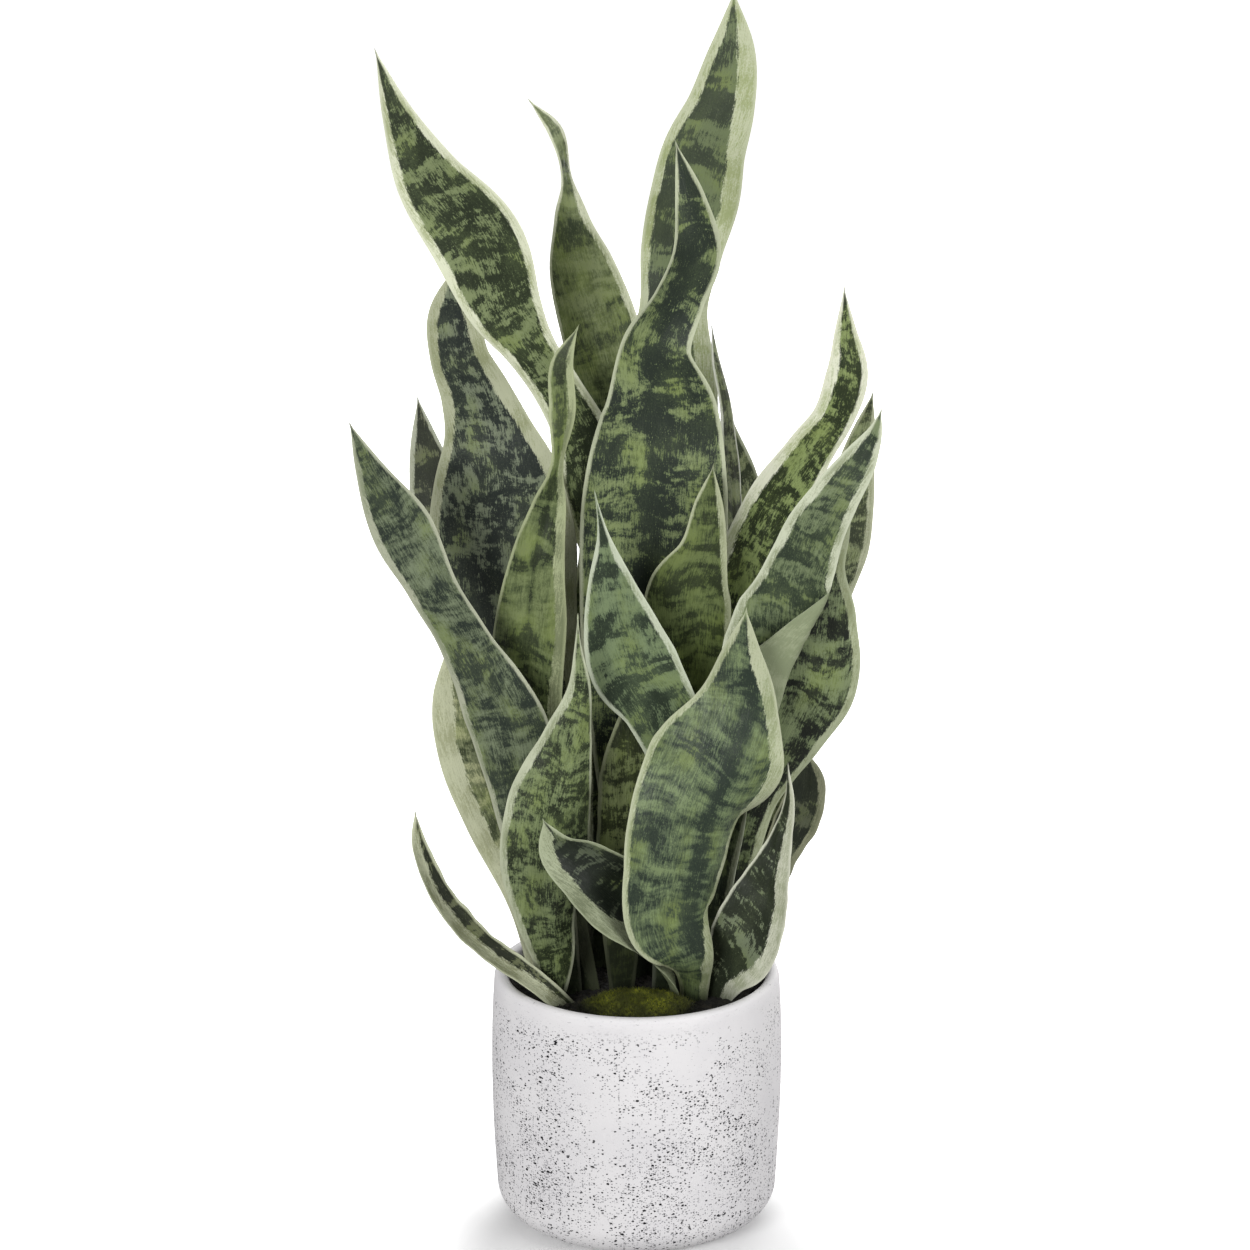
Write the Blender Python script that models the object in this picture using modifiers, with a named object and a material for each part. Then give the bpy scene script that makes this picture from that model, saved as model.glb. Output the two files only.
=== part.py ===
"""Potted snake plant: a cast planter filled with soil, moss, and a clump of twisted leaves.

Units are metres, +Z up. The origin is the centre of the planter's flat underside, and -Y is the
front. Every leaf is a thin blade lofted along a curved, twisting spine.
"""
from math import cos, pi, radians, sin

import bmesh
import bpy
import numpy as np

MM = 0.001

# Planter
POT_HEIGHT = 140.5 * MM
POT_BELLY_RADIUS = 80.0 * MM
POT_BELLY_HEIGHT = 90.0 * MM
POT_RIM_RADIUS = 78.0 * MM
POT_FOOT_RADIUS = 77.4 * MM
POT_FOOT_ROUND = 18.0 * MM
POT_WALL = 7.0 * MM
POT_FLOOR = 9.0 * MM
LIP_ROUND = 3.2 * MM
INNER_HEIGHTS = (60.0 * MM, 90.0 * MM, 115.0 * MM)
POT_STEPS = 44

# Filling
SOIL_TOP = 132.0 * MM
SOIL_EDGE_DROP = 1.5 * MM
FIT_GAP = 0.3 * MM
MOSS_RING_RADIUS = 45.0 * MM
MOSS_HALF_WIDTH = 21.0 * MM
MOSS_HALF_ANGLE = radians(38.0)
MOSS_THICKNESS = 11.0 * MM

# Leaf blades
BLADE_MID = 2.6 * MM
BLADE_EDGE = 0.9 * MM
BLADE_TIP_THINNING = 0.6
TIP_HALF_WIDTH = 0.5 * MM
FOLD_SPAN = 0.25
ACROSS = 5
ROWS_PER_METRE = 40
TOWARDS_FRONT = np.array([0.0, -1.0, 0.0])

GREEN = (0.055, 0.085, 0.04)
CONCRETE = (0.72, 0.71, 0.72)
EARTH = (0.02, 0.015, 0.01)
MOSS_GREEN = (0.13, 0.13, 0.02)

# Each leaf is a list of stations from its foot to its tip. A station gives the spine's x, y, z
# and the half width in mm, then in degrees the roll about the spine and the bend of the left
# and of the right half. An eighth value is where the right half folds over, as a share of
# the half width.
LEAVES = {
    "leaf_tall_right": [
        (14, 34, 126, 8, 0, 40, 40), (14, 40, 250, 20, 0, 25, 25), (16, 56, 380, 27, 0, 15, 15),
        (17, 60, 446, 27, 5, 10, 10), (19, 62, 498, 22, 32, 10, 10), (24, 62, 528, 23, 14, 5, 5),
        (30, 62, 553, 26, 19, 5, 5), (35, 62, 578, 24, 18, 5, 5), (44, 62, 603, 19, 13, 5, 5),
        (50, 62, 634, 13, 18, 5, 5), (51, 62, 664, 0, 18, 0, 0),
    ],
    "leaf_tall_centre": [
        (4, 10, 126, 8, 0, 40, 40), (4, 10, 230, 24, 0, 15, 15), (7, 8, 348, 38, 0, 10, 10),
        (10, 8, 413, 38, 0, 10, 10), (12, 8, 451, 31, 0, 10, 10), (10, 6, 486, 19, 0, 20, 20),
        (20, 4, 512, 16, 25, 30, 30), (29, 2, 536, 15, 20, 40, 40), (27, 0, 565, 9, 10, 40, 40),
        (20, -2, 594, 0, 0, 0, 0),
    ],
    "leaf_tall_left": [
        (-20, 24, 126, 8, 0, 40, 40), (-14, 26, 240, 14, 0, 25, 25), (-12, 25, 364, 16, 0, 10, 10),
        (-23, 22, 404, 18, 0, 0, 0), (-29, 20, 434, 15, 0, 0, 0), (-41, 15, 459, 13, 0, 0, 0),
        (-56, 8, 484, 14, -5, 0, 0), (-69, 4, 507, 20, -9, 15, 0), (-82, 0, 542, 25, -16, 35, 0),
        (-108, -2, 578, 19, -21, 20, 0), (-123, -2, 609, 10, -26, 0, 0), (-134, 0, 641, 0, -26, 0, 0),
    ],
    "leaf_tall_twisted": [
        (-20, 38, 126, 7, 0, 30, 30), (-26, 37, 280, 17, 0, 20, 20), (-12, 40, 380, 18, 0, 10, 10),
        (-10, 44, 449, 20, -10, 10, 10), (-20, 45, 488, 21, 0, 0, 0), (-30, 44, 523, 17, 0, 0, 0),
        (-35, 42, 549, 9, 10, 0, 0), (-37, 42, 567, 6, 60, 0, 0), (-43, 40, 594, 5, 40, 0, 0),
        (-56, 38, 610, 0, 0, 0, 0),
    ],
    "leaf_broad_back_left": [
        (-42, 12, 126, 8, 0, 40, 40), (-58, 16, 240, 27, -7, 15, -10), (-66, 20, 316, 36, -18, 10, -15),
        (-71, 22, 345, 40, -18, 10, -15), (-73, 24, 385, 40, -18, 10, -15),
        (-76, 26, 418, 33, -18, 10, -10), (-80, 28, 437, 25, -18, 5, -5),
        (-86, 28, 456, 20, -18, 5, -5), (-94, 27, 476, 17, -18, 5, 5), (-97, 26, 500, 14, -18, 5, 5),
        (-97, 24, 524, 0, -18, 0, 0),
    ],
    "leaf_small_back_left": [
        (-46, 28, 126, 6, 0, 30, 30), (-70, 44, 240, 14, -8, 20, 20), (-96, 62, 340, 20, -25, 15, 15),
        (-109, 68, 394, 17, -25, 15, 15), (-115, 70, 420, 9, -25, 15, 15),
        (-119, 70, 443, 0, -25, 0, 0),
    ],
    "leaf_waisted_left": [
        (-26, -8, 126, 7, 0, 30, 30), (-48, -10, 210, 15, -1, 10, 10),
        (-60, -12, 297, 20, -12, -15, -15), (-57, -14, 340, 20, -12, -20, -20),
        (-53, -15, 375, 15, -12, -20, -20), (-46, -16, 406, 9, 8, -10, -10),
        (-42, -18, 428, 5, 48, -5, -5), (-39, -18, 458, 7, -2, 0, 0), (-39, -18, 482, 6, -12, 0, 0),
        (-31, -18, 501, 0, -12, 0, 0),
    ],
    "leaf_leaning_left": [
        (-36, -14, 126, 7, 0, -30, -30), (-50, -24, 200, 16, -3, -20, -20),
        (-60, -28, 252, 21, -12, -15, -15), (-70, -30, 291, 23, -18, -10, -10),
        (-89, -30, 331, 16, -18, -5, -5), (-108, -30, 366, 15, -18, 0, 0),
        (-124, -28, 398, 18, -18, 0, 0), (-140, -28, 430, 8, -18, 0, 0), (-149, -28, 452, 0, -18, 0, 0),
    ],
    "leaf_narrow_back_right": [
        (32, 24, 126, 6, 0, 20, 20), (44, 38, 300, 10, 50, 10, 10), (52, 44, 382, 10, 60, 10, 10),
        (49, 46, 425, 8, 60, 10, 10), (47, 46, 448, 6, 60, 0, 0), (42, 46, 471, 4, 60, 0, 0),
        (40, 46, 488, 0, 60, 0, 0),
    ],
    "leaf_slim_back_right": [
        (36, 40, 126, 7, 0, 30, 30), (52, 60, 280, 16, 4, 20, 20), (60, 72, 374, 13, 15, 10, 10),
        (55, 74, 402, 10, 15, 5, 5), (50, 74, 424, 5, 15, 5, 5), (47, 74, 444, 0, 15, 0, 0),
    ],
    "leaf_tall_outer_right": [
        (30, 10, 126, 7, 0, 30, 30), (42, 16, 240, 13, 0, 20, 20), (54, 18, 345, 18, 7, 10, 10),
        (65, 18, 378, 18, 12, 5, 5), (77, 20, 402, 18, 15, 5, 5), (92, 22, 426, 14, 15, 5, 5),
        (104, 22, 444, 12, 15, 5, 5), (111, 22, 467, 12, 15, 5, 5), (110, 22, 492, 6, 15, 0, 0),
        (109, 22, 514, 0, 15, 0, 0),
    ],
    "leaf_back_outer_right": [
        (50, 26, 126, 7, 0, 30, 30), (78, 38, 240, 12, 9, 20, 20), (104, 50, 330, 12, 28, 10, 10),
        (113, 54, 362, 15, 28, 5, 5), (117, 54, 400, 14, 28, 5, 5), (123, 54, 431, 7, 28, 0, 0),
        (127, 52, 450, 0, 28, 0, 0),
    ],
    "leaf_folded_right": [
        (38, -8, 126, 5, 0, -20, 5, 0.1), (49, -10, 220, 12, 0, 0, 60, 0.1),
        (68, -13, 290, 28, 0, 0, 150, 0.1), (80, -12, 330, 33, 0, 0, 165, 0.15),
        (82, -12, 350, 28, 0, 0, 165, 0.48), (84, -13, 364, 20, 0, 0, 165, 0.85),
        (88, -14, 376, 18, 0, 0, 120, 1), (94, -16, 393, 16, 0, 0, 20, 1),
        (104, -18, 411, 13, 0, 0, 0, 1), (117, -18, 432, 9, 0, 0, 0, 1), (124, -18, 446, 4, 0, 0, 0, 1),
        (127, -18, 457, 0, 0, 0, 0, 1),
    ],
    "leaf_broad_low_right": [
        (54, -2, 126, 5, 0, -30, -30), (56, 3, 198, 10, 3, -25, -25), (66, 2, 236, 12, 10, -25, -25),
        (82, 2, 269, 20, 14, -25, -25), (94, 3, 297, 28, 14, -25, -25), (99, 5, 336, 21, 14, -20, -20),
        (102, 6, 368, 10, 14, -10, -10), (108, 7, 384, 6, 14, -5, -5), (114, 8, 396, 0, 14, 0, 0),
    ],
    "leaf_broad_front": [
        (31, -24, 126, 7, 0, -20, -20), (31, -30, 144, 9, 0, -20, -20),
        (29, -46, 164, 16, 11, -10, -50), (21, -53, 186, 27, 12, 0, -60),
        (25, -55, 217, 33, 10, 0, -70), (32, -53, 248, 36, 10, -20, -66),
        (45, -46, 279, 36, 0, -20, -25), (53, -40, 306, 22, 0, -25, -25),
        (55, -40, 334, 10, 0, -25, -25), (57, -40, 355, 0, 0, 0, 0),
    ],
    "leaf_bowl_front_right": [
        (42, -20, 126, 6, -20, 20, 20), (48, -25, 146, 14, -22, 20, 30),
        (58, -33, 165, 21, -24, 25, 35), (67, -36, 190, 19, -30, 25, 35),
        (76, -38, 224, 9, -45, 10, 10), (81, -37, 249, 5, -60, 0, 0), (80, -34, 268, 0, -60, 0, 0),
    ],
    "leaf_low_back_right": [
        (60, 12, 126, 5, 0, 20, 20), (67, 13, 165, 8, 8, 20, 20), (76, 16, 196, 11, 19, 20, 20),
        (87, 16, 222, 14, 20, 20, 20), (92, 16, 242, 11, 20, 20, 20), (90, 14, 262, 0, 20, 0, 0),
    ],
    "leaf_pointed_centre": [
        (14, -12, 126, 6, 0, 0, 0), (22, -22, 200, 12, -2, 5, 5), (28, -25, 251, 16, -8, 5, 5),
        (13, -26, 296, 21, -12, 5, 5), (-1, -27, 320, 25, -12, 5, 5), (-9, -28, 345, 20, -12, 5, 5),
        (-14, -28, 369, 12, -12, 5, 5), (-18, -28, 394, 3, -12, 0, 0), (-22, -28, 415, 0, -12, 0, 0),
    ],
    "leaf_centre_right": [
        (24, -2, 126, 6, 0, 0, 0), (24, -3, 220, 18, 0, -5, -5), (25, -3, 285, 23, 0, -5, -5),
        (26, -4, 329, 24, 0, -5, -5), (28, -5, 357, 22, 0, -5, -5), (35, -6, 379, 13, 0, 0, 0),
        (38, -6, 406, 7, 0, 0, 0), (40, -6, 424, 0, 0, 0, 0),
    ],
    "leaf_front_left": [
        (-45, -20, 126, 5, 0, -10, -10), (-45, -34, 159, 12, 4, -20, -20),
        (-48, -46, 186, 17, 9, -20, -30), (-48, -50, 220, 25, 12, -20, -30),
        (-44, -49, 253, 24, 12, -20, -40), (-36, -47, 286, 15, 12, -20, -40),
        (-30, -45, 313, 7, 12, -20, -40), (-31, -44, 336, 2, 12, 0, 0), (-31, -44, 353, 0, 12, 0, 0),
    ],
    "leaf_inner_centre": [
        (-8, -12, 126, 6, 0, 0, 0), (-8, -16, 180, 12, 6, 0, 0), (-6, -18, 226, 16, 15, 0, 0),
        (-6, -18, 265, 13, 15, 0, 0), (-5, -16, 302, 0, 15, 0, 0),
    ],
    "leaf_short_front": [
        (20, -25, 126, 9, 80, 80, 40), (19, -28, 142, 11, 70, 75, 45), (14, -32, 158, 15, 55, 60, 45),
        (5, -37, 177, 20, 42, 50, 50), (-11, -46, 197, 25, 32, 50, 60), (-29, -57, 218, 20, 20, 50, 60),
        (-43, -62, 232, 11, 10, 40, 40), (-49, -64, 247, 0, 0, 0, 0),
    ],
    "leaf_low_left": [
        (-34, -28, 126, 4, 0, 20, 20), (-57, -40, 148, 8, 50, 50, 50), (-82, -43, 167, 10, 60, 50, 50),
        (-105, -41, 193, 10, 60, 50, 50), (-116, -38, 221, 6, 40, 50, 50), (-118, -36, 242, 0, 0, 0, 0),
    ],
    "leaf_pale_back_left": [
        (-50, -4, 126, 6, 0, -20, -20), (-60, -8, 183, 11, 5, -20, -20),
        (-78, -6, 228, 15, 12, -20, -20), (-90, -4, 261, 16, 12, -20, -20),
        (-96, -4, 295, 14, 12, -20, -20), (-100, -6, 329, 0, 12, 0, 0),
    ],
    "leaf_thin_low_left": [
        (-58, 13, 126, 5, 0, 10, 10), (-57, 20, 156, 7, 0, 10, 10), (-63, 23, 182, 8, -8, 10, 10),
        (-80, 22, 206, 6, -20, 10, 10), (-95, 20, 228, 0, -20, 0, 0),
    ],
}


def clear_scene():
    """Remove every object so that the file can be run again."""
    for item in list(bpy.data.objects):
        bpy.data.objects.remove(item, do_unlink=True)


def make_collection(name):
    """Make a collection under the scene's own one."""
    group = bpy.data.collections.new(name)
    bpy.context.scene.collection.children.link(group)
    return group


def make_material(name, colour, roughness):
    """A Principled material with one colour and roughness."""
    material = bpy.data.materials.new(name)
    material.use_nodes = True
    shader = material.node_tree.nodes["Principled BSDF"]
    shader.inputs["Base Color"].default_value = (*colour, 1.0)
    shader.inputs["Roughness"].default_value = roughness
    shader.inputs["Metallic"].default_value = 0.0
    return material


def add_object(name, mesh, group, material=None):
    """Put a mesh in the scene under its part's name."""
    item = bpy.data.objects.new(name, mesh)
    group.objects.link(item)
    if material:
        mesh.materials.append(material)
    return item


# ---- turned pieces ----

def arc_points(centre_r, centre_z, radius, start, end, count):
    """Points of an arc in the profile's plane, angles in degrees from +X towards +Z."""
    angles = [radians(start + (end - start) * k / (count - 1)) for k in range(count)]
    return [(centre_r + radius * cos(a), centre_z + radius * sin(a)) for a in angles]


def wall_radius(z):
    """Outer radius of the planter at a height: fullest at the belly, a little in at both ends."""
    if z > POT_BELLY_HEIGHT:
        share = (z - POT_BELLY_HEIGHT) / (POT_HEIGHT - POT_BELLY_HEIGHT)
        return POT_BELLY_RADIUS - (POT_BELLY_RADIUS - POT_RIM_RADIUS) * share ** 2
    share = (POT_BELLY_HEIGHT - z) / (POT_BELLY_HEIGHT - POT_FOOT_ROUND)
    return POT_BELLY_RADIUS - (POT_BELLY_RADIUS - POT_FOOT_RADIUS) * min(share, 1.0) ** 2


def pot_profile():
    """Half section of the planter: inner floor, inner wall, lip, outer wall, foot, underside."""
    inner_round = POT_FOOT_ROUND - POT_WALL
    foot = POT_FOOT_RADIUS - POT_FOOT_ROUND
    points = [(0.0, POT_FLOOR)]
    points += arc_points(foot, POT_FLOOR + inner_round, inner_round, -90, 0, 4)
    points += [(wall_radius(z) - POT_WALL, z) for z in INNER_HEIGHTS]
    lip_z = POT_HEIGHT - LIP_ROUND
    points += arc_points(POT_RIM_RADIUS - POT_WALL + LIP_ROUND, lip_z, LIP_ROUND, 180, 90, 4)
    points += arc_points(POT_RIM_RADIUS - LIP_ROUND, lip_z, LIP_ROUND, 90, 0, 4)
    points += [(wall_radius(z), z) for z in (0.122, 0.106, POT_BELLY_HEIGHT, 0.065, 0.04)]
    points += arc_points(foot, POT_FOOT_ROUND, POT_FOOT_ROUND, 0, -90, 6)
    points.append((0.0, 0.0))
    return points


def soil_profile():
    """Half section of the soil, which fills the planter with a small gap all round."""
    inner_round = POT_FOOT_ROUND - POT_WALL
    foot = POT_FOOT_RADIUS - POT_FOOT_ROUND - FIT_GAP
    top_edge = POT_RIM_RADIUS - POT_WALL - FIT_GAP
    points = [(0.0, SOIL_TOP), (top_edge - 5 * MM, SOIL_TOP)]
    points += [(top_edge - 1.5 * MM, SOIL_TOP - SOIL_EDGE_DROP)]
    points += [(top_edge, SOIL_TOP - SOIL_EDGE_DROP - 2 * MM)]
    points += [(wall_radius(z) - POT_WALL - FIT_GAP, z) for z in reversed(INNER_HEIGHTS)]
    points += arc_points(foot, POT_FLOOR + FIT_GAP + inner_round, inner_round, 0, -90, 4)
    points.append((0.0, POT_FLOOR + FIT_GAP))
    return points


def turn(name, profile, group, material):
    """Turn a half section about Z with a Screw modifier."""
    mesh = bpy.data.meshes.new(name)
    edges = [(k, k + 1) for k in range(len(profile) - 1)]
    mesh.from_pydata([(r, 0.0, z) for r, z in profile], edges, [])
    item = add_object(name, mesh, group, material)
    screw = item.modifiers.new("turn", "SCREW")
    screw.axis = "Z"
    screw.angle = 2 * pi
    screw.steps = POT_STEPS
    screw.render_steps = POT_STEPS
    screw.use_merge_vertices = True
    screw.merge_threshold = 0.01 * MM
    screw.use_smooth_shade = True
    return item


def make_moss(group, material):
    """A low mound of moss: a flattened ball swept along the planter's front."""
    mesh = bpy.data.meshes.new("moss")
    shape = bmesh.new()
    bmesh.ops.create_uvsphere(shape, u_segments=28, v_segments=10, radius=1.0)
    for vert in shape.verts:
        across, along, up = -vert.co.y, vert.co.x, vert.co.z
        lumps = 0.85 + 0.15 * cos(9 * along) * cos(5 * across + 1)
        angle = -pi / 2 + MOSS_HALF_ANGLE * along
        radius = MOSS_RING_RADIUS + MOSS_HALF_WIDTH * across
        height = MOSS_THICKNESS * lumps * up if up > 0 else 0.4 * MM * up
        base = SOIL_TOP + FIT_GAP + 0.4 * MM
        vert.co = (radius * cos(angle), radius * sin(angle), base + height)
    shape.to_mesh(mesh)
    shape.free()
    mesh.shade_smooth()
    return add_object("moss", mesh, group, material)


# ---- leaves ----

def along_spine(stations, share):
    """Smooth curve through the stations, and its slope, at shares of the spine's length."""
    steps = np.linalg.norm(np.diff(stations[:, :3], axis=0), axis=1)
    knots = np.concatenate([[0.0], np.cumsum(steps)]) / steps.sum()
    gaps = np.diff(knots)
    slopes = np.diff(stations, axis=0) / gaps[:, None]
    tangents = np.concatenate([slopes[:1], slopes])
    blend = slopes[1:] * gaps[:-1, None] + slopes[:-1] * gaps[1:, None]
    tangents[1:-1] = blend / (gaps[:-1] + gaps[1:])[:, None]
    cell = np.clip(np.searchsorted(knots, share, side="right") - 1, 0, len(gaps) - 1)
    gap = gaps[cell][:, None]
    f = (share - knots[cell])[:, None] / gap
    start, end = stations[cell], stations[cell + 1]
    start_pull, end_pull = gap * tangents[cell], gap * tangents[cell + 1]
    curve = (2 * f ** 3 - 3 * f ** 2 + 1) * start + (3 * f ** 2 - 2 * f ** 3) * end
    curve += (f ** 3 - 2 * f ** 2 + f) * start_pull + (f ** 3 - f ** 2) * end_pull
    slope = 6 * (f ** 2 - f) * (start - end)
    slope += (3 * f ** 2 - 4 * f + 1) * start_pull + (3 * f ** 2 - 2 * f) * end_pull
    return curve, slope / gap


def bent_half(across, bend):
    """Sideways and forward reach of a half blade bent into an arc, for a half width of one."""
    bend = np.where(np.abs(bend) < 0.001, 0.001, bend)
    turned = bend * np.abs(across)
    return np.sin(turned) / bend * np.sign(across), (1 - np.cos(turned)) / bend


def folded_half(across, bend, crease):
    """Reach of a right half that is flat up to its crease and then folds over by the bend."""
    bend = np.maximum(bend, 0.001)
    flat = np.clip(across, 0.0, crease)
    curl = np.clip(across - crease, 0.0, FOLD_SPAN)
    flap = np.clip(across - crease - FOLD_SPAN, 0.0, None)
    radius = FOLD_SPAN / bend
    turned = curl / radius
    sideways = flat + radius * np.sin(turned) + flap * np.cos(bend)
    return sideways, radius * (1 - np.cos(turned)) + flap * np.sin(bend)


def blade_points(name, share, across, grow=0.0):
    """Points of a blade's middle surface, at shares of its length and of its half widths."""
    stations = np.array(LEAVES[name], float)
    stations[:, :4] *= MM
    curve, slope = along_spine(stations, np.clip(share, 0.0, 1.0))
    forward = slope[:, :3] / np.linalg.norm(slope[:, :3], axis=1)[:, None]
    flat_side = np.cross(forward, TOWARDS_FRONT)
    flat_side /= np.linalg.norm(flat_side, axis=1)[:, None]
    flat_face = np.cross(flat_side, forward)
    roll = np.radians(curve[:, 4:5])
    side = flat_side * np.cos(roll) - flat_face * np.sin(roll)
    face = np.cross(side, forward)
    half = np.maximum(curve[:, 3:4], TIP_HALF_WIDTH)[:, 0] + grow
    bend = np.radians(np.where(across < 0, curve[:, 5], curve[:, 6]))
    sideways, lift = bent_half(across, bend)
    if stations.shape[1] > 7:
        crease = np.clip(curve[:, 7], 0.02, 1.0)
        fold_side, fold_lift = folded_half(np.maximum(across, 0.0), bend, crease)
        sideways = np.where(across > 0, fold_side, sideways)
        lift = np.where(across > 0, fold_lift, lift)
    points = curve[:, :3] + side * (half * sideways)[:, None] + face * (half * lift)[:, None]
    return points + forward * np.minimum(share, 0.0)[:, None] * spine_length(name)


def spine_length(name):
    """Length of a leaf's spine, summed over its stations."""
    spine = np.array(LEAVES[name], float)[:, :3] * MM
    return float(np.linalg.norm(np.diff(spine, axis=0), axis=1).sum())


def row_count(name):
    """Rows of faces along a blade: more on a long or a folded one."""
    folded = len(LEAVES[name][0]) > 7
    return max(11, round(ROWS_PER_METRE * spine_length(name))) + (8 if folded else 0)


def column_count(name):
    """Columns of faces across a blade: more where it is strongly bent."""
    bends = np.abs(np.array(LEAVES[name], float)[:, 5:7]).max()
    return ACROSS + 1 + 2 * int(bends > 45) + 2 * int(bends > 90)


def make_blade(name, group, shares, columns, grow, material=None):
    """Shape a flat grid into the blade's surface and thicken it with Solidify."""
    mesh = bpy.data.meshes.new(name)
    grid = bmesh.new()
    bmesh.ops.create_grid(grid, x_segments=columns, y_segments=len(shares) - 1, size=1.0)
    grid.to_mesh(mesh)
    grid.free()
    flat = np.array([vert.co[:] for vert in mesh.vertices])
    row = np.rint((flat[:, 1] + 1) / 2 * (len(shares) - 1)).astype(int)
    share = np.array(shares)[row]
    points = blade_points(name, share, flat[:, 0], grow)
    mesh.vertices.foreach_set("co", points.ravel())
    mesh.shade_smooth()
    item = add_object(name, mesh, group, material)
    middle = BLADE_EDGE + (BLADE_MID - BLADE_EDGE) * (1 - flat[:, 0] ** 2)
    thick = middle * (1 - BLADE_TIP_THINNING * np.clip(share, 0.0, 1.0)) + 2 * grow
    full = BLADE_MID + 2 * grow
    taper = item.vertex_groups.new(name="thickness")
    for index, value in enumerate(thick / full):
        taper.add([index], float(value), "REPLACE")
    shell = item.modifiers.new("blade", "SOLIDIFY")
    shell.thickness = full
    shell.offset = 0.0
    shell.vertex_group = "thickness"
    return item


def make_leaf(name, group, material):
    """One leaf, from its foot in the soil to its tip."""
    shares = [k / row_count(name) for k in range(row_count(name) + 1)]
    return make_blade(name, group, shares, column_count(name), 0.0, material)


def make_slot_cutter(name, group):
    """The foot of a leaf, grown by the gap, reaching from under it to clear of the soil."""
    rows = row_count(name)
    shares = [-FIT_GAP / spine_length(name)]
    for k in range(rows + 1):
        shares.append(k / rows)
        if blade_points(name, np.array([k / rows]), np.array([0.0]))[0, 2] > SOIL_TOP + 15 * MM:
            break
    cutter = make_blade(name, group, shares, column_count(name), FIT_GAP)
    cutter.name = "slot_" + name
    cutter.hide_render = True
    cutter.display_type = "WIRE"
    return cutter


def main():
    """Build the planter, its filling and the leaves."""
    clear_scene()
    plant = make_collection("potted_snake_plant")
    cutters = make_collection("soil_slots")
    turn("pot", pot_profile(), plant, make_material("pot", CONCRETE, 0.55))
    soil = turn("soil", soil_profile(), plant, make_material("soil", EARTH, 0.95))
    moss = make_moss(plant, make_material("moss", MOSS_GREEN, 0.9))
    for name in LEAVES:
        make_slot_cutter(name, cutters)
    for filling in (soil, moss):
        slots = filling.modifiers.new("slots", "BOOLEAN")
        slots.operation = "DIFFERENCE"
        slots.operand_type = "COLLECTION"
        slots.collection = cutters
    for name in LEAVES:
        make_leaf(name, plant, make_material(name, GREEN, 0.4))


main()
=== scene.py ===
"""Potted snake plant: a cast planter with soil and moss, and twenty-five variegated leaves.

Every piece is a surface worked out as whole numpy arrays, in metres, in the CAD model's frame: +Z up,
the origin under the middle of the planter, and -Y the front.
"""
import logging
import math
from dataclasses import dataclass, field
from enum import Enum
from typing import Any, Iterable, Sequence, Union

import bpy
import numpy as np
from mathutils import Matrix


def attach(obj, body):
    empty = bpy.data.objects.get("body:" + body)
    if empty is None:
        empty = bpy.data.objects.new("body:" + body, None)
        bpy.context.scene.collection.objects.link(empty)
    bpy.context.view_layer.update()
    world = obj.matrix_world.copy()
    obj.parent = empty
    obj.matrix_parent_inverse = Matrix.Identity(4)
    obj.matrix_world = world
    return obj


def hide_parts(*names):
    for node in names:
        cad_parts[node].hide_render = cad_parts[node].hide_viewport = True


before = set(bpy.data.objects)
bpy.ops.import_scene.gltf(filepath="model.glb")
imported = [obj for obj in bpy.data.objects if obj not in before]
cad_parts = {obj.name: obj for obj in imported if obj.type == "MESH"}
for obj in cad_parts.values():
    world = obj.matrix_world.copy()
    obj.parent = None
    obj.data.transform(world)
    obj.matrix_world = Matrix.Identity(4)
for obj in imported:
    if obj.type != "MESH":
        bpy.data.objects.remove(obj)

LOG = logging.getLogger("snake_plant")
MM = 0.001
Colour = tuple[float, float, float]
Number = Union[float, int]

# ---------------------------------------------------------------- dimensions, in metres

POT_HEIGHT = 140.5 * MM
POT_BELLY_RADIUS = 80.0 * MM
POT_BELLY_HEIGHT = 90.0 * MM
POT_RIM_RADIUS = 78.0 * MM
POT_FOOT_RADIUS = 77.4 * MM
POT_FOOT_ROUND = 18.0 * MM
POT_WALL = 7.0 * MM
POT_FLOOR = 9.0 * MM
LIP_ROUND = 3.2 * MM
SOIL_TOP = 132.0 * MM
SOIL_BOTTOM = 10.0 * MM
BLADE_MID = 2.6 * MM
BLADE_EDGE = 0.9 * MM
BLADE_TIP_THINNING = 0.6
TIP_HALF_WIDTH = 0.4 * MM
SPIKE_RADIUS = 0.28 * MM
FOLD_SPAN = 0.25
EDGE_SQUARENESS = 14
ROW_CROWDING = 0.96
GROOVE_SPREAD = 0.16
RIPPLED_HALF_WIDTH = 12 * MM
BACK_LAYERS = 40.0
BAND_DRIFT = 26.0
FOOT_IN_LIGHT = (0.0, 26.0)
TOWARDS_FRONT = np.array([0.0, -1.0, 0.0])


def shade(red: int, green: int, blue: int) -> Colour:
    """Turn a display colour into scene-linear light.

    Args:
        red: Display red, 0 to 255.
        green: Display green, 0 to 255.
        blue: Display blue, 0 to 255.

    Returns:
        The colour by the sRGB curve: a straight toe, then a power of 2.4.
    """
    parts = [value / 255 for value in (red, green, blue)]
    return tuple(v / 12.92 if v <= 0.04045 else ((v + 0.055) / 1.055) ** 2.4 for v in parts)


def shades(*colours: tuple[int, int, int]) -> list[Colour]:
    """Turn several display colours into scene-linear light."""
    return [shade(*colour) for colour in colours]


# ---------------------------------------------------------------- shader maths


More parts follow.
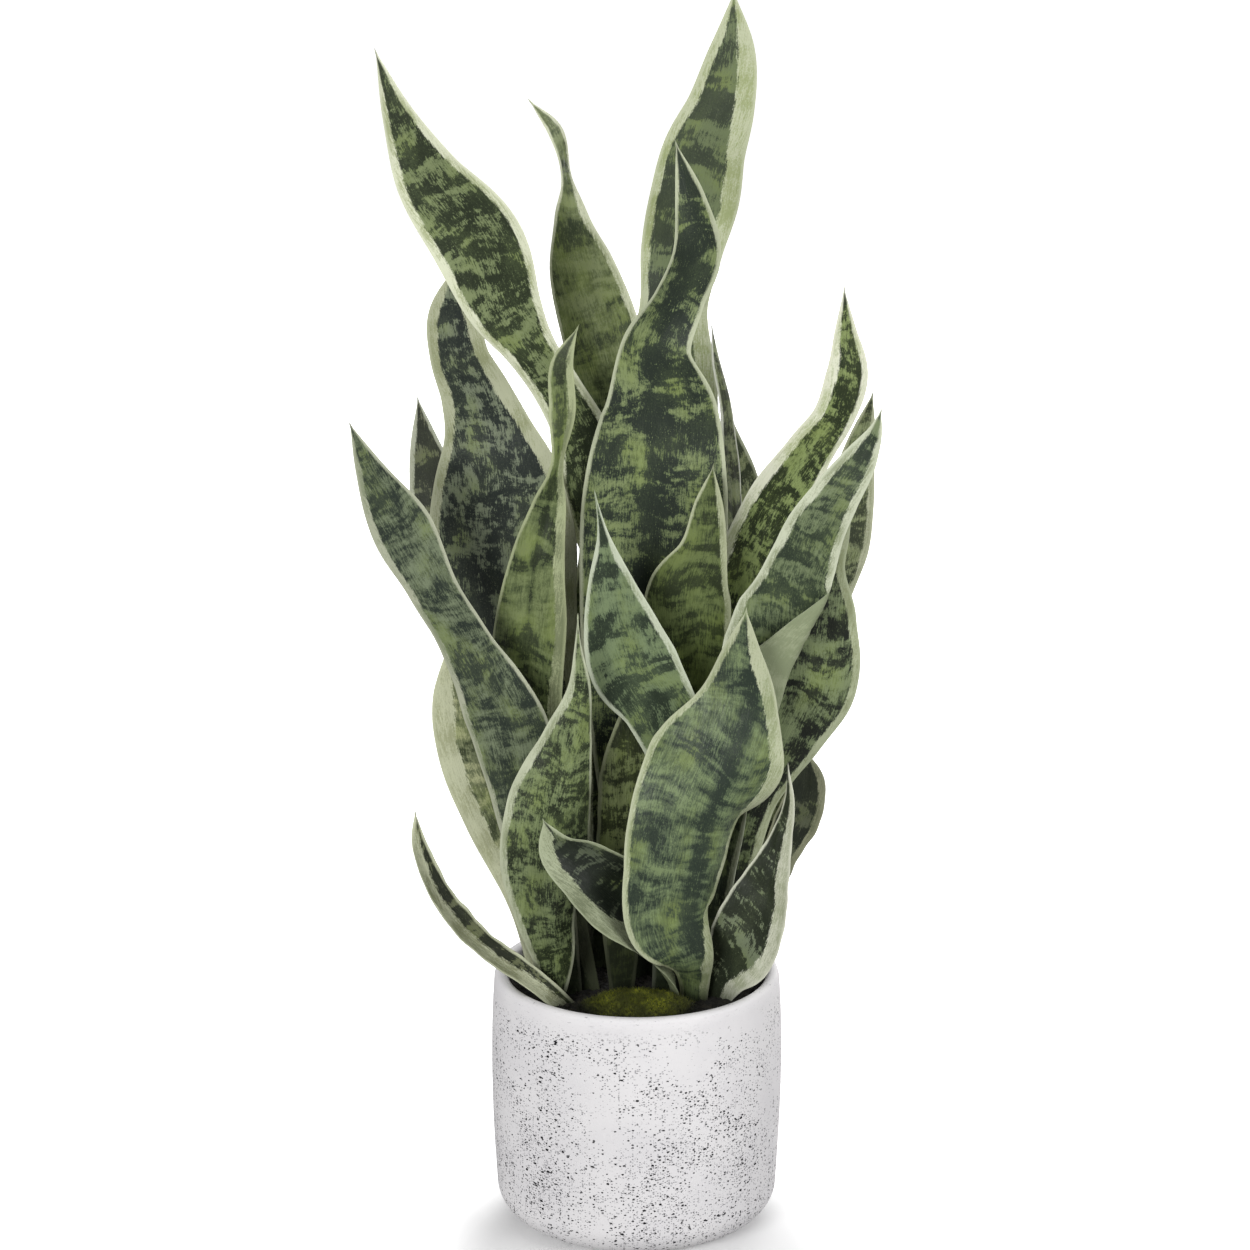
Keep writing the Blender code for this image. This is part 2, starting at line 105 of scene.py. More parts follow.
@dataclass(frozen=True)
class Value:
    """A number that varies over a surface: one node socket with Python's operators."""

    graph: "Graph"
    socket: bpy.types.NodeSocket

    def __add__(self, other: "Term") -> "Value":
        """Sum."""
        return self.graph.math("ADD", self, other)

    def __sub__(self, other: "Term") -> "Value":
        """Difference."""
        return self.graph.math("SUBTRACT", self, other)

    def __rsub__(self, other: "Term") -> "Value":
        """Difference, from the right."""
        return self.graph.math("SUBTRACT", other, self)

    def __mul__(self, other: "Term") -> "Value":
        """Product."""
        return self.graph.math("MULTIPLY", self, other)

    __radd__ = __add__
    __rmul__ = __mul__

    def size(self) -> "Value":
        """Size without its sign."""
        return self.graph.math("ABSOLUTE", self)

    def least(self, other: "Term") -> "Value":
        """The smaller of two."""
        return self.graph.math("MINIMUM", self, other)

    def most(self, other: "Term") -> "Value":
        """The larger of two."""
        return self.graph.math("MAXIMUM", self, other)

    def rise(self, low: Number, high: Number) -> "Value":
        """Smooth step from 0 at low to 1 at high."""
        return self.graph.step(self, low, high)

    def fall(self, low: Number, high: Number) -> "Value":
        """Smooth step from 1 at low to 0 at high."""
        return self.graph.step(self, low, high, 1.0, 0.0)


Term = Union[Value, float, int]


class Graph:
    """One material's node tree, written to by Python expressions."""

    def __init__(self, name: str) -> None:
        """Start a material with one Principled shader.

        Args:
            name: The material's name.
        """
        self.material = bpy.data.materials.new(name)
        self.material.use_nodes = True
        self.tree = self.material.node_tree
        self.shader = self.tree.nodes["Principled BSDF"]

    def node(self, kind: str, settings: dict[str, Any], inputs: dict[Any, Any], output: Any = 0) -> Value:
        """Add one node.

        Args:
            kind: The node's type.
            settings: The node's own properties, set first.
            inputs: Values or links, by socket name or number.
            output: The name or number of the output that is wanted.

        Returns:
            That output.
        """
        made = self.tree.nodes.new(kind)
        for key, value in settings.items():
            setattr(made, key, value)
        for key, value in inputs.items():
            self.feed(made.inputs[key], value)
        return Value(self, made.outputs[output])

    def feed(self, socket: bpy.types.NodeSocket, value: Any) -> None:
        """Link a socket to a value, or set it to a constant.

        Args:
            socket: The input to fill.
            value: A Value, a number or a colour.
        """
        if isinstance(value, Value):
            self.tree.links.new(value.socket, socket)
        elif isinstance(value, tuple) and len(value) == 3 and len(socket.default_value) == 4:
            socket.default_value = (*value, 1.0)
        else:
            socket.default_value = value

    def math(self, operation: str, first: Term, second: Term = 0.0) -> Value:
        """One Math node on one or two terms."""
        return self.node("ShaderNodeMath", {"operation": operation}, {0: first, 1: second})

    def step(
        self, value: Value, low: Number, high: Number, start: Number = 0.0, end: Number = 1.0
    ) -> Value:
        """Smooth step of a value between two limits, from start to end."""
        inputs = {"Value": value, "From Min": low, "From Max": high, "To Min": start, "To Max": end}
        return self.node("ShaderNodeMapRange", {"interpolation_type": "SMOOTHSTEP"}, inputs)

    def mix(self, factor: Term, first: Any, second: Any) -> Value:
        """Blend two colours by a factor."""
        return self.node("ShaderNodeMix", {"data_type": "RGBA"}, {0: factor, 6: first, 7: second}, 2)

    def point(self, x: Term, y: Term, z: Term) -> Value:
        """A vector from three numbers."""
        return self.node("ShaderNodeCombineXYZ", {}, {0: x, 1: y, 2: z})

    def split(self, vector: Value) -> tuple[Value, Value, Value]:
        """Take a vector apart.

        Args:
            vector: The vector.

        Returns:
            Its x, y and z.
        """
        x = self.node("ShaderNodeSeparateXYZ", {}, {0: vector}, 0)
        made = x.socket.node
        return x, Value(self, made.outputs[1]), Value(self, made.outputs[2])

    def noise(
        self, where: Value, detail: Number = 2.0, roughness: Number = 0.5, scale: Number = 1.0
    ) -> Value:
        """Fractal noise around one half."""
        inputs = {"Vector": where, "Scale": scale, "Detail": detail, "Roughness": roughness}
        return self.node("ShaderNodeTexNoise", {}, inputs)

    def attribute(self, name: str, output: str) -> Value:
        """A value stored on the mesh."""
        return self.node("ShaderNodeAttribute", {"attribute_name": name}, {}, output)

    def place(self) -> Value:
        """The point's place on the object, in metres."""
        return self.node("ShaderNodeTexCoord", {}, {}, "Object")

    def cells(self, where: Value, scale: Number, output: str = "Distance") -> Value:
        """Distance to the nearest of scattered points, or that point's colour."""
        return self.node("ShaderNodeTexVoronoi", {}, {"Vector": where, "Scale": scale}, output)

    def bump(self, height: Value, distance: Number, strength: Number) -> Value:
        """Normal of a height field."""
        inputs = {"Height": height, "Distance": distance, "Strength": strength}
        return self.node("ShaderNodeBump", {}, inputs)

    def finish(self, **sockets: Any) -> bpy.types.Material:
        """Fill the Principled shader.

        Args:
            **sockets: Its inputs by name, with an underscore for each space.

        Returns:
            The finished material.
        """
        for name, value in sockets.items():
            self.feed(self.shader.inputs[name.replace("_", " ")], value)
        return self.material


# ---------------------------------------------------------------- meshes


def make_mesh(name: str, points: np.ndarray, faces: Sequence[np.ndarray]) -> bpy.types.Mesh:
    """Put whole arrays of points and faces into a mesh.

    Args:
        name: The mesh's name.
        points: Points, one row each.
        faces: Arrays of faces, each with its own number of corners.

    Returns:
        The mesh, shaded smooth.
    """
    mesh = bpy.data.meshes.new(name)
    corners = np.concatenate([block.ravel() for block in faces])
    sizes = np.concatenate([np.full(len(block), block.shape[1]) for block in faces])
    mesh.vertices.add(len(points))
    mesh.vertices.foreach_set("co", np.ascontiguousarray(points, dtype=np.float32).ravel())
    mesh.loops.add(len(corners))
    mesh.loops.foreach_set("vertex_index", corners.astype(np.int32))
    mesh.polygons.add(len(sizes))
    mesh.polygons.foreach_set("loop_start", (np.cumsum(sizes) - sizes).astype(np.int32))
    mesh.update(calc_edges=True)
    mesh.validate()
    mesh.shade_smooth()
    return mesh


def tube_faces(rows: int, around: int) -> np.ndarray:
    """Quads of a closed tube whose rings are rows, each ring's last point joined to its first.

    Args:
        rows: How many rings.
        around: How many points in each ring.

    Returns:
        Quads, one row each.
    """
    ring = np.arange(around)
    row = np.arange(rows - 1)[:, None] * around
    after = (ring + 1) % around
    quads = [row + ring, row + after, row + around + after, row + around + ring]
    return np.stack([corner.ravel() for corner in quads], axis=1)


def cap_faces(ring: np.ndarray, centre: int, flip: bool) -> np.ndarray:
    """Triangles from a ring of points to one point in its middle.

    Args:
        ring: Numbers of the ring's points.
        centre: Number of the middle point.
        flip: True to turn the triangles over.

    Returns:
        Triangles, one row each.
    """
    after = np.roll(ring, -1)
    middle = np.full(len(ring), centre)
    return np.stack([after, ring, middle] if flip else [ring, after, middle], axis=1)


def add_piece(
    name: str, mesh: bpy.types.Mesh, material: bpy.types.Material, stands_for: str
) -> bpy.types.Object:
    """Put a finished piece in the scene and join it to the model.

    Args:
        name: The piece's name.
        mesh: Its mesh, already in place.
        material: Its material.
        stands_for: The CAD node that the piece stands for.

    Returns:
        The piece.
    """
    piece = bpy.data.objects.new(name, mesh)
    bpy.context.scene.collection.objects.link(piece)
    mesh.materials.append(material)
    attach(piece, "root")
    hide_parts(stands_for)
    LOG.info("%s: %d points", name, len(mesh.vertices))
    return piece


# ---------------------------------------------------------------- leaves


class Weave(Enum):
    """The noises that make up a blade's pattern.

    Each holds its cycles in a mm across and along the blade, its layer in the noise, its detail
    and its roughness. WANDER is read by the blade's side in place of the place across.
    """

    DRIFT = (0.03, 0.03, 0.0, 1.0, 0.5)
    STREAK = (1.3, 0.17, 0.0, 2.0, 0.6)
    FIBRE = (3.0, 0.05, 0.0, 1.0, 0.5)
    COARSE = (0.028, 0.075, 3.0, 3.0, 0.55)
    FINE = (0.07, 0.26, 5.0, 2.0, 0.5)
    BLOTCH = (0.15, 0.12, 7.0, 5.0, 0.65)
    GRAIN = (1.5, 1.0, 9.0, 3.0, 0.65)
    WANDER = (3.0, 0.05, 11.0, 2.0, 0.5)
    CLOUD = (0.06, 0.035, 13.0, 2.0, 0.5)

    def read(self, g: Graph, across: Value, along: Value, depth: Value, size: float = 1.0) -> Value:
        """Read this noise around zero.

        Args:
            g: The material's graph.
            across: Place across the blade, in mm.
            along: Place along the blade, in mm.
            depth: Where in the noise this leaf and this side of it are taken.
            size: How many times its usual size the pattern is.

        Returns:
            The noise, from about -0.5 to 0.5.
        """
        pitch_across, pitch_along, layer, detail, roughness = self.value
        where = g.point(across * (pitch_across / size), along * (pitch_along / size), depth + layer)
        return g.noise(where, detail, roughness) - 0.5


@dataclass(frozen=True)
class BladeFinish:
    """The colours and pattern of one leaf. Lengths are in mm along the blade's surface."""

    light: Colour
    middle: Colour
    dark: Colour
    margin: Colour
    margin_green: Colour
    left: tuple[float, float]
    right: tuple[float, float]
    darkness: float = 0.5
    bands: float = 1.0
    fine_bands: float = 0.4
    blotches: float = 0.7
    size: float = 1.0
    slant: float = 0.0
    # Painted shade along a groove: its place across and width in mm, and its strength.
    groove_shade: tuple[float, float, float] = (0.0, 5.0, 0.0)
    flecks: float = 1.0
    underside: float = 0.0
    glow: Colour = shade(132, 148, 74)
    # Painted shade over the foot: its colour, and the span in mm along the blade over which it fades out.
    foot: Colour = shade(26, 31, 20)
    shaded: tuple[float, float] = (20.0, 90.0)

    def build(self, name: str, seed: float) -> bpy.types.Material:
        """Paint the blade: crossbands with feathered edges, flecks and pale margins, with painted shade at
        the foot and, on some leaves, along a groove.

        The pattern is read in mm across and along the blade. Slow noise, squeezed along the blade
        into crossbands, is added to finer bands, to blotches and to fine lengthwise streaks, and a
        step on the sum parts dark from light. The margins are steps on the distance to each edge.

        Args:
            name: The material's name.
            seed: Where in the noise this leaf's pattern is taken.

        Returns:
            The material.
        """
        g = Graph(name)
        across, along, half = g.split(g.attribute("blade", "Vector"))
        side = g.attribute("side", "Fac")
        share = g.attribute("tip", "Fac")
        depth = side * BACK_LAYERS + seed
        drift = Weave.DRIFT.read(g, across, along, depth)
        streak = Weave.STREAK.read(g, across, along, depth)
        fibre = Weave.FIBRE.read(g, across, along, depth)
        grain = Weave.GRAIN.read(g, across, along, depth)
        cloud = Weave.CLOUD.read(g, across, along, depth)
        wander = Weave.WANDER.read(g, side, along, depth)
        lean = along + across * self.slant + drift * BAND_DRIFT
        coarse = Weave.COARSE.read(g, across, lean, depth, self.size)
        fine = Weave.FINE.read(g, across, lean, depth, self.size)
        blotch = Weave.BLOTCH.read(g, across, lean, depth, self.size)

        # Painted shade in a groove along the blade, then the tone that parts dark from light.
        centre, width, strength = self.groove_shade
        ragged_side = drift * 8.0 + streak * 4.0 + blotch * 9.0
        shaded_groove = ((across - centre).size() + ragged_side).fall(width * 0.3, width * 1.6)
        pattern = coarse * self.bands + fine * self.fine_bands + blotch * self.blotches
        groove_shade = shaded_groove * (0.2 * strength)
        tone = pattern + (streak * 0.5 + grain * 0.34) + (self.darkness - 0.5) * 0.5 + groove_shade
        dark = tone.rise(-0.03, 0.05)
        soft = (pattern + streak * 0.6 + grain * 0.5 + groove_shade).rise(-0.2, 0.05)

        # Light ground, dark bands, and flecks of each in the other.
        paint = g.mix(soft, self.light, self.middle)
        paint = g.mix((cloud * 1.6 + grain * 0.8).rise(-0.1, 0.5) * 0.45, paint, self.glow)
        worn = (cloud * 1.4 + grain * 1.2 + streak * 0.6).rise(-0.15, 0.4)
        paint = g.mix(dark * 0.95, paint, g.mix(worn * 0.5, self.dark, self.middle))
        speckle = streak * 0.8 + grain * 1.1
        pale_fleck = (speckle + blotch * 0.4).rise(0.2, 0.3) * (0.5 * self.flecks)
        paint = g.mix(pale_fleck, paint, self.light)
        dark_fleck = (blotch * 0.5 - speckle).rise(0.2, 0.3) * (0.55 * self.flecks)
        paint = g.mix(dark_fleck, paint, self.dark)

        # Pale margins, greener inwards, with a thin pale line at the very edge.
        ragged = wander * 5.0 + streak * 4.0 + grain * 3.0
        left = self.border(g, half + across, half, share, self.left, ragged)
        right = self.border(g, half - across, half, share, self.right, ragged)
        margin = left.most(right)
        greening = (streak * 1.2 + grain * 1.2 + wander * 1.4 + cloud * 1.2 + 0.42).rise(0.1, 0.75)
        edge = (half + across).least(half - across)
        cream = g.mix(greening * edge.rise(0.3, 2.4), self.margin, self.margin_green)
        paint = g.mix(margin * 0.94, paint, cream)
        paint = g.mix(edge.fall(0.2, 0.8) * (0.62 - greening * 0.5), paint, self.margin)

        # A plain underside where the leaf shows one, and painted shade over the foot, fading out along the
        # blade over the shaded span.
        plain = g.mix(soft * 0.5, self.margin_green, self.light)
        paint = g.mix(side * self.underside, paint, plain)
        paint = g.mix(along.fall(self.shaded[0], self.shaded[1]) * 0.9, paint, self.foot)
        ribs = fibre * 0.9 + streak * 0.5 + blotch * 0.3 + shaded_groove * 0.25
        normal = g.bump(ribs, 0.5 * MM, 0.6)
        gloss = 0.36 + grain * 0.3 + margin * 0.06 + dark * 0.04
        return g.finish(Base_Color=paint, Roughness=gloss, Normal=normal, Specular_IOR_Level=0.27)

    def border(
        self, g: Graph, reach: Value, half: Value, share: Value, widths: tuple[float, float], ragged: Value
    ) -> Value:
        """One pale margin: 1 within its width of the edge, whose inner side wanders.

        Args:
            g: The material's graph.
            reach: Distance from the edge.
            half: The blade's half width there.
            share: Share of the leaf's length.
            widths: The margin's width at the foot and at the tip.
            ragged: How far the inner side is moved.

        Returns:
            The margin's mask. Near the tip the width is at most 0.3 of the half width.
        """
        width = (share * (widths[1] - widths[0]) + widths[0]).least(half * (0.3 + 0.04 * max(widths)))
        return (reach + ragged * (width * 0.12).least(1.0) - width).fall(-0.6, 0.6)


@dataclass
class Leaf:
    """One leaf: a thin blade lofted along a curved, twisting spine.

    Each station from foot to tip gives the spine's x, y, z and the half width in mm, then in degrees
    the roll about the spine and the bend of the left and of the right half. An eighth value is
    where the right half folds over, as a share of the half width.
    """

    name: str
    stations: list[tuple[float, ...]]
    finish: BladeFinish
    wave: float = 0.8
    groove: float = 0.7
    ripples: float = 4.0
    seed: float = 0.0
    columns: int = 30
    rows_per_metre: int = 330
    fewest_rows: int = 30

    def table(self) -> np.ndarray:
        """The stations, one row each.

        Returns:
            Their places and half widths in metres, and their angles in degrees.
        """
        table = np.array(self.stations, float)
        table[:, :4] *= MM
        return table

    def length(self) -> float:
        """Length of the spine, summed over its stations."""
        return float(np.linalg.norm(np.diff(self.table()[:, :3], axis=0), axis=1).sum())

    def along_spine(self, share: np.ndarray) -> tuple[np.ndarray, np.ndarray]:
        """Smooth curve through the stations.

        Each stretch is a cubic between two stations whose end slopes are the neighbouring
        stretches' slopes, each weighted by the other's length.

        Args:
            share: Shares of the spine's length, 0 to 1.

        Returns:
            Every column of the table at those shares, and its slope.
        """
        table = self.table()
        steps = np.linalg.norm(np.diff(table[:, :3], axis=0), axis=1)
        knots = np.concatenate([[0.0], np.cumsum(steps)]) / steps.sum()
        gaps = np.diff(knots)
        slopes = np.diff(table, axis=0) / gaps[:, None]
        tangents = np.concatenate([slopes[:1], slopes])
        blend = slopes[1:] * gaps[:-1, None] + slopes[:-1] * gaps[1:, None]
        tangents[1:-1] = blend / (gaps[:-1] + gaps[1:])[:, None]
        cell = np.clip(np.searchsorted(knots, share, side="right") - 1, 0, len(gaps) - 1)
        gap = gaps[cell][:, None]
        f = (share - knots[cell])[:, None] / gap
        start, end = table[cell], table[cell + 1]
        start_pull, end_pull = gap * tangents[cell], gap * tangents[cell + 1]
        curve = (2 * f**3 - 3 * f**2 + 1) * start + (3 * f**2 - 2 * f**3) * end
        curve += (f**3 - 2 * f**2 + f) * start_pull + (f**3 - f**2) * end_pull
        slope = 6 * (f**2 - f) * (start - end)
        slope += (3 * f**2 - 4 * f + 1) * start_pull + (3 * f**2 - 2 * f) * end_pull
        return curve, slope / gap

    def reach(self, across: np.ndarray, curve: np.ndarray) -> tuple[np.ndarray, np.ndarray]:
        """Sideways and forward reach across the blade, for a half width of one.

        A half blade of bend b is an arc: sin(b u) / b sideways and (1 - cos(b u)) / b forward. A
        folded right half is flat up to its crease, an arc over the fold's span, and flat again.

        Args:
            across: Places across the blade, -1 to 1, one row.
            curve: The spine's table at each row.

        Returns:
            The two reaches, one row for each row of the curve.
        """
        bend = np.radians(np.where(across < 0, curve[:, 5:6], curve[:, 6:7]))
        bend = np.where(np.abs(bend) < 0.001, 0.001, bend)
        turned = bend * np.abs(across)
        sideways, forward = np.sin(turned) / bend * np.sign(across), (1 - np.cos(turned)) / bend
        if curve.shape[1] > 7:
            crease = np.clip(curve[:, 7:8], 0.02, 1.0)
            right = np.maximum(across, 0.0)
            fold = np.maximum(bend, 0.001)
            radius = FOLD_SPAN / fold
            curl = np.clip(right - crease, 0.0, FOLD_SPAN) / radius
            flap = np.clip(right - crease - FOLD_SPAN, 0.0, None)
            folded = np.clip(right, 0.0, crease) + radius * np.sin(curl) + flap * np.cos(fold)
            sideways = np.where(across > 0, folded, sideways)
            raised = radius * (1 - np.cos(curl)) + flap * np.sin(fold)
            forward = np.where(across > 0, raised, forward)
        return sideways, forward

    def surface(self, share: np.ndarray, across: np.ndarray) -> tuple[np.ndarray, np.ndarray]:
        """The blade's middle surface on a grid.

        The spine carries a frame whose face looks to the front and is rolled about the spine; each
        row is laid out in it by the two reaches. The edges ripple by sines that die out towards
        the midline, the foot and the tip, and a bell curve sinks a groove along the midline.

        Args:
            share: Shares of the length, one for each row.
            across: Places across, -1 to 1, one for each column.

        Returns:
            The points and the half width of each row.
        """
        curve, slope = self.along_spine(share)
        forward = slope[:, :3] / np.linalg.norm(slope[:, :3], axis=1)[:, None]
        flat_side = np.cross(forward, TOWARDS_FRONT)
        flat_side /= np.linalg.norm(flat_side, axis=1)[:, None]
        roll = np.radians(curve[:, 4:5])
        side = flat_side * np.cos(roll) - np.cross(flat_side, forward) * np.sin(roll)
        face = np.cross(side, forward)
        half = np.maximum(curve[:, 3], TIP_HALF_WIDTH)
        u = across[None, :]
        sideways, lift = self.reach(u, curve)
        place = share[:, None] * self.ripples * 2 * math.pi + self.seed
        ripple = np.abs(u) ** 3 * np.sin(place + np.where(u < 0, 0.0, 2.1))
        ripple += 0.5 * np.abs(u) ** 4 * np.sin(2.7 * place + np.where(u < 0, 1.0, 0.4))
        swell = 0.5 * np.sin(1.7 * place + 1.3 * u) * (1 - u**2)
        furrows = 0.35 * np.cos(9.5 * u + 0.2 * self.seed) * (1 - u**2)
        groove = furrows - np.exp(-((u / GROOVE_SPREAD) ** 2))
        fade = (np.sin(math.pi * share) * np.minimum(half / RIPPLED_HALF_WIDTH, 1.0))[:, None]
        relief = self.wave * (ripple + swell) + self.groove * groove
        lift_m = half[:, None] * lift + MM * fade * relief
        points = curve[:, None, :3] + side[:, None] * (half[:, None] * sideways)[..., None]
        return points + face[:, None] * lift_m[..., None], half

    def build(self) -> bpy.types.Mesh:
        """Wrap a closed skin round the middle surface.

        Columns are spaced as the cosine of an even angle, so they crowd towards the edges, where
        the thickness falls to nothing in a round: t (1 - |u|^14)^(1/2), with t thinner towards
        the edges and the tip. Each row's front and back make one ring.

        Returns:
            The mesh, with its place across, along and half width stored in mm.
        """
        rows = int(self.fewest_rows + self.rows_per_metre * self.length())
        share = np.linspace(0.0, 1.0, rows) ** ROW_CROWDING
        across = -np.cos(np.linspace(0.0, math.pi, self.columns))
        middle, half = self.surface(share, across)
        normal = np.cross(np.gradient(middle, axis=1), np.gradient(middle, axis=0))
        normal /= np.maximum(np.linalg.norm(normal, axis=2), 1e-12)[..., None]
        thick = BLADE_EDGE + (BLADE_MID - BLADE_EDGE) * (1 - across**2)
        thick = thick * np.sqrt(np.maximum(1 - np.abs(across) ** EDGE_SQUARENESS, 0.0))
        thick = thick[None, :] * (1 - BLADE_TIP_THINNING * share)[:, None]
        thick = np.minimum(thick, half[:, None] * 1.2)[..., None] / 2
        front, back = middle + normal * thick, middle - normal * thick
        rings = np.concatenate([front, back[:, -2:0:-1]], axis=1)
        around = rings.shape[1]
        ends = np.stack([rings[0].mean(axis=0), rings[-1].mean(axis=0) * 2 - rings[-2].mean(axis=0)])
        points = np.concatenate([rings.reshape(-1, 3), ends])
        last = rows * around
        foot = cap_faces(np.arange(around), last, True)
        tip = cap_faces(np.arange(last - around, last), last + 1, False)
        mesh = make_mesh(self.name, points, [tube_faces(rows, around), foot, tip])
        self.store(mesh, share, half, across, around)
        return mesh

    def store(
        self, mesh: bpy.types.Mesh, share: np.ndarray, half: np.ndarray, across: np.ndarray, around: int
    ) -> None:
        """Store each point's place on the blade for its material.

        Args:
            mesh: The leaf's mesh.
            share: Shares of the length, one for each row.
            half: Half widths, one for each row.
            across: Places across the front, -1 to 1.
            around: Points in each ring.
        """
        ring = np.concatenate([across, across[-2:0:-1]])
        width = half[:, None] * ring[None, :] / MM
        along = np.broadcast_to(share[:, None] * self.length() / MM, width.shape)
        halves = np.broadcast_to(half[:, None] / MM, width.shape)
        blade = np.stack([width, along, halves], axis=2).reshape(-1, 3)
        blade = np.concatenate([blade, blade[:1], blade[-1:]])
        mesh.attributes.new("blade", "FLOAT_VECTOR", "POINT").data.foreach_set("vector", blade.ravel())
        back = (np.arange(around) >= len(across)).astype(float)
        side = np.concatenate([np.tile(back, len(share)), [0.0, 0.0]])
        mesh.attributes.new("side", "FLOAT", "POINT").data.foreach_set("value", side)
        tip = np.concatenate([np.repeat(share, around), [0.0, 1.0]])
        mesh.attributes.new("tip", "FLOAT", "POINT").data.foreach_set("value", tip)

    def make(self) -> None:
        """Build the leaf, dress it and join it to the model."""
        material = self.finish.build(self.name, self.seed * 7.3)
        add_piece(self.name + "_blade", self.build(), material, self.name)


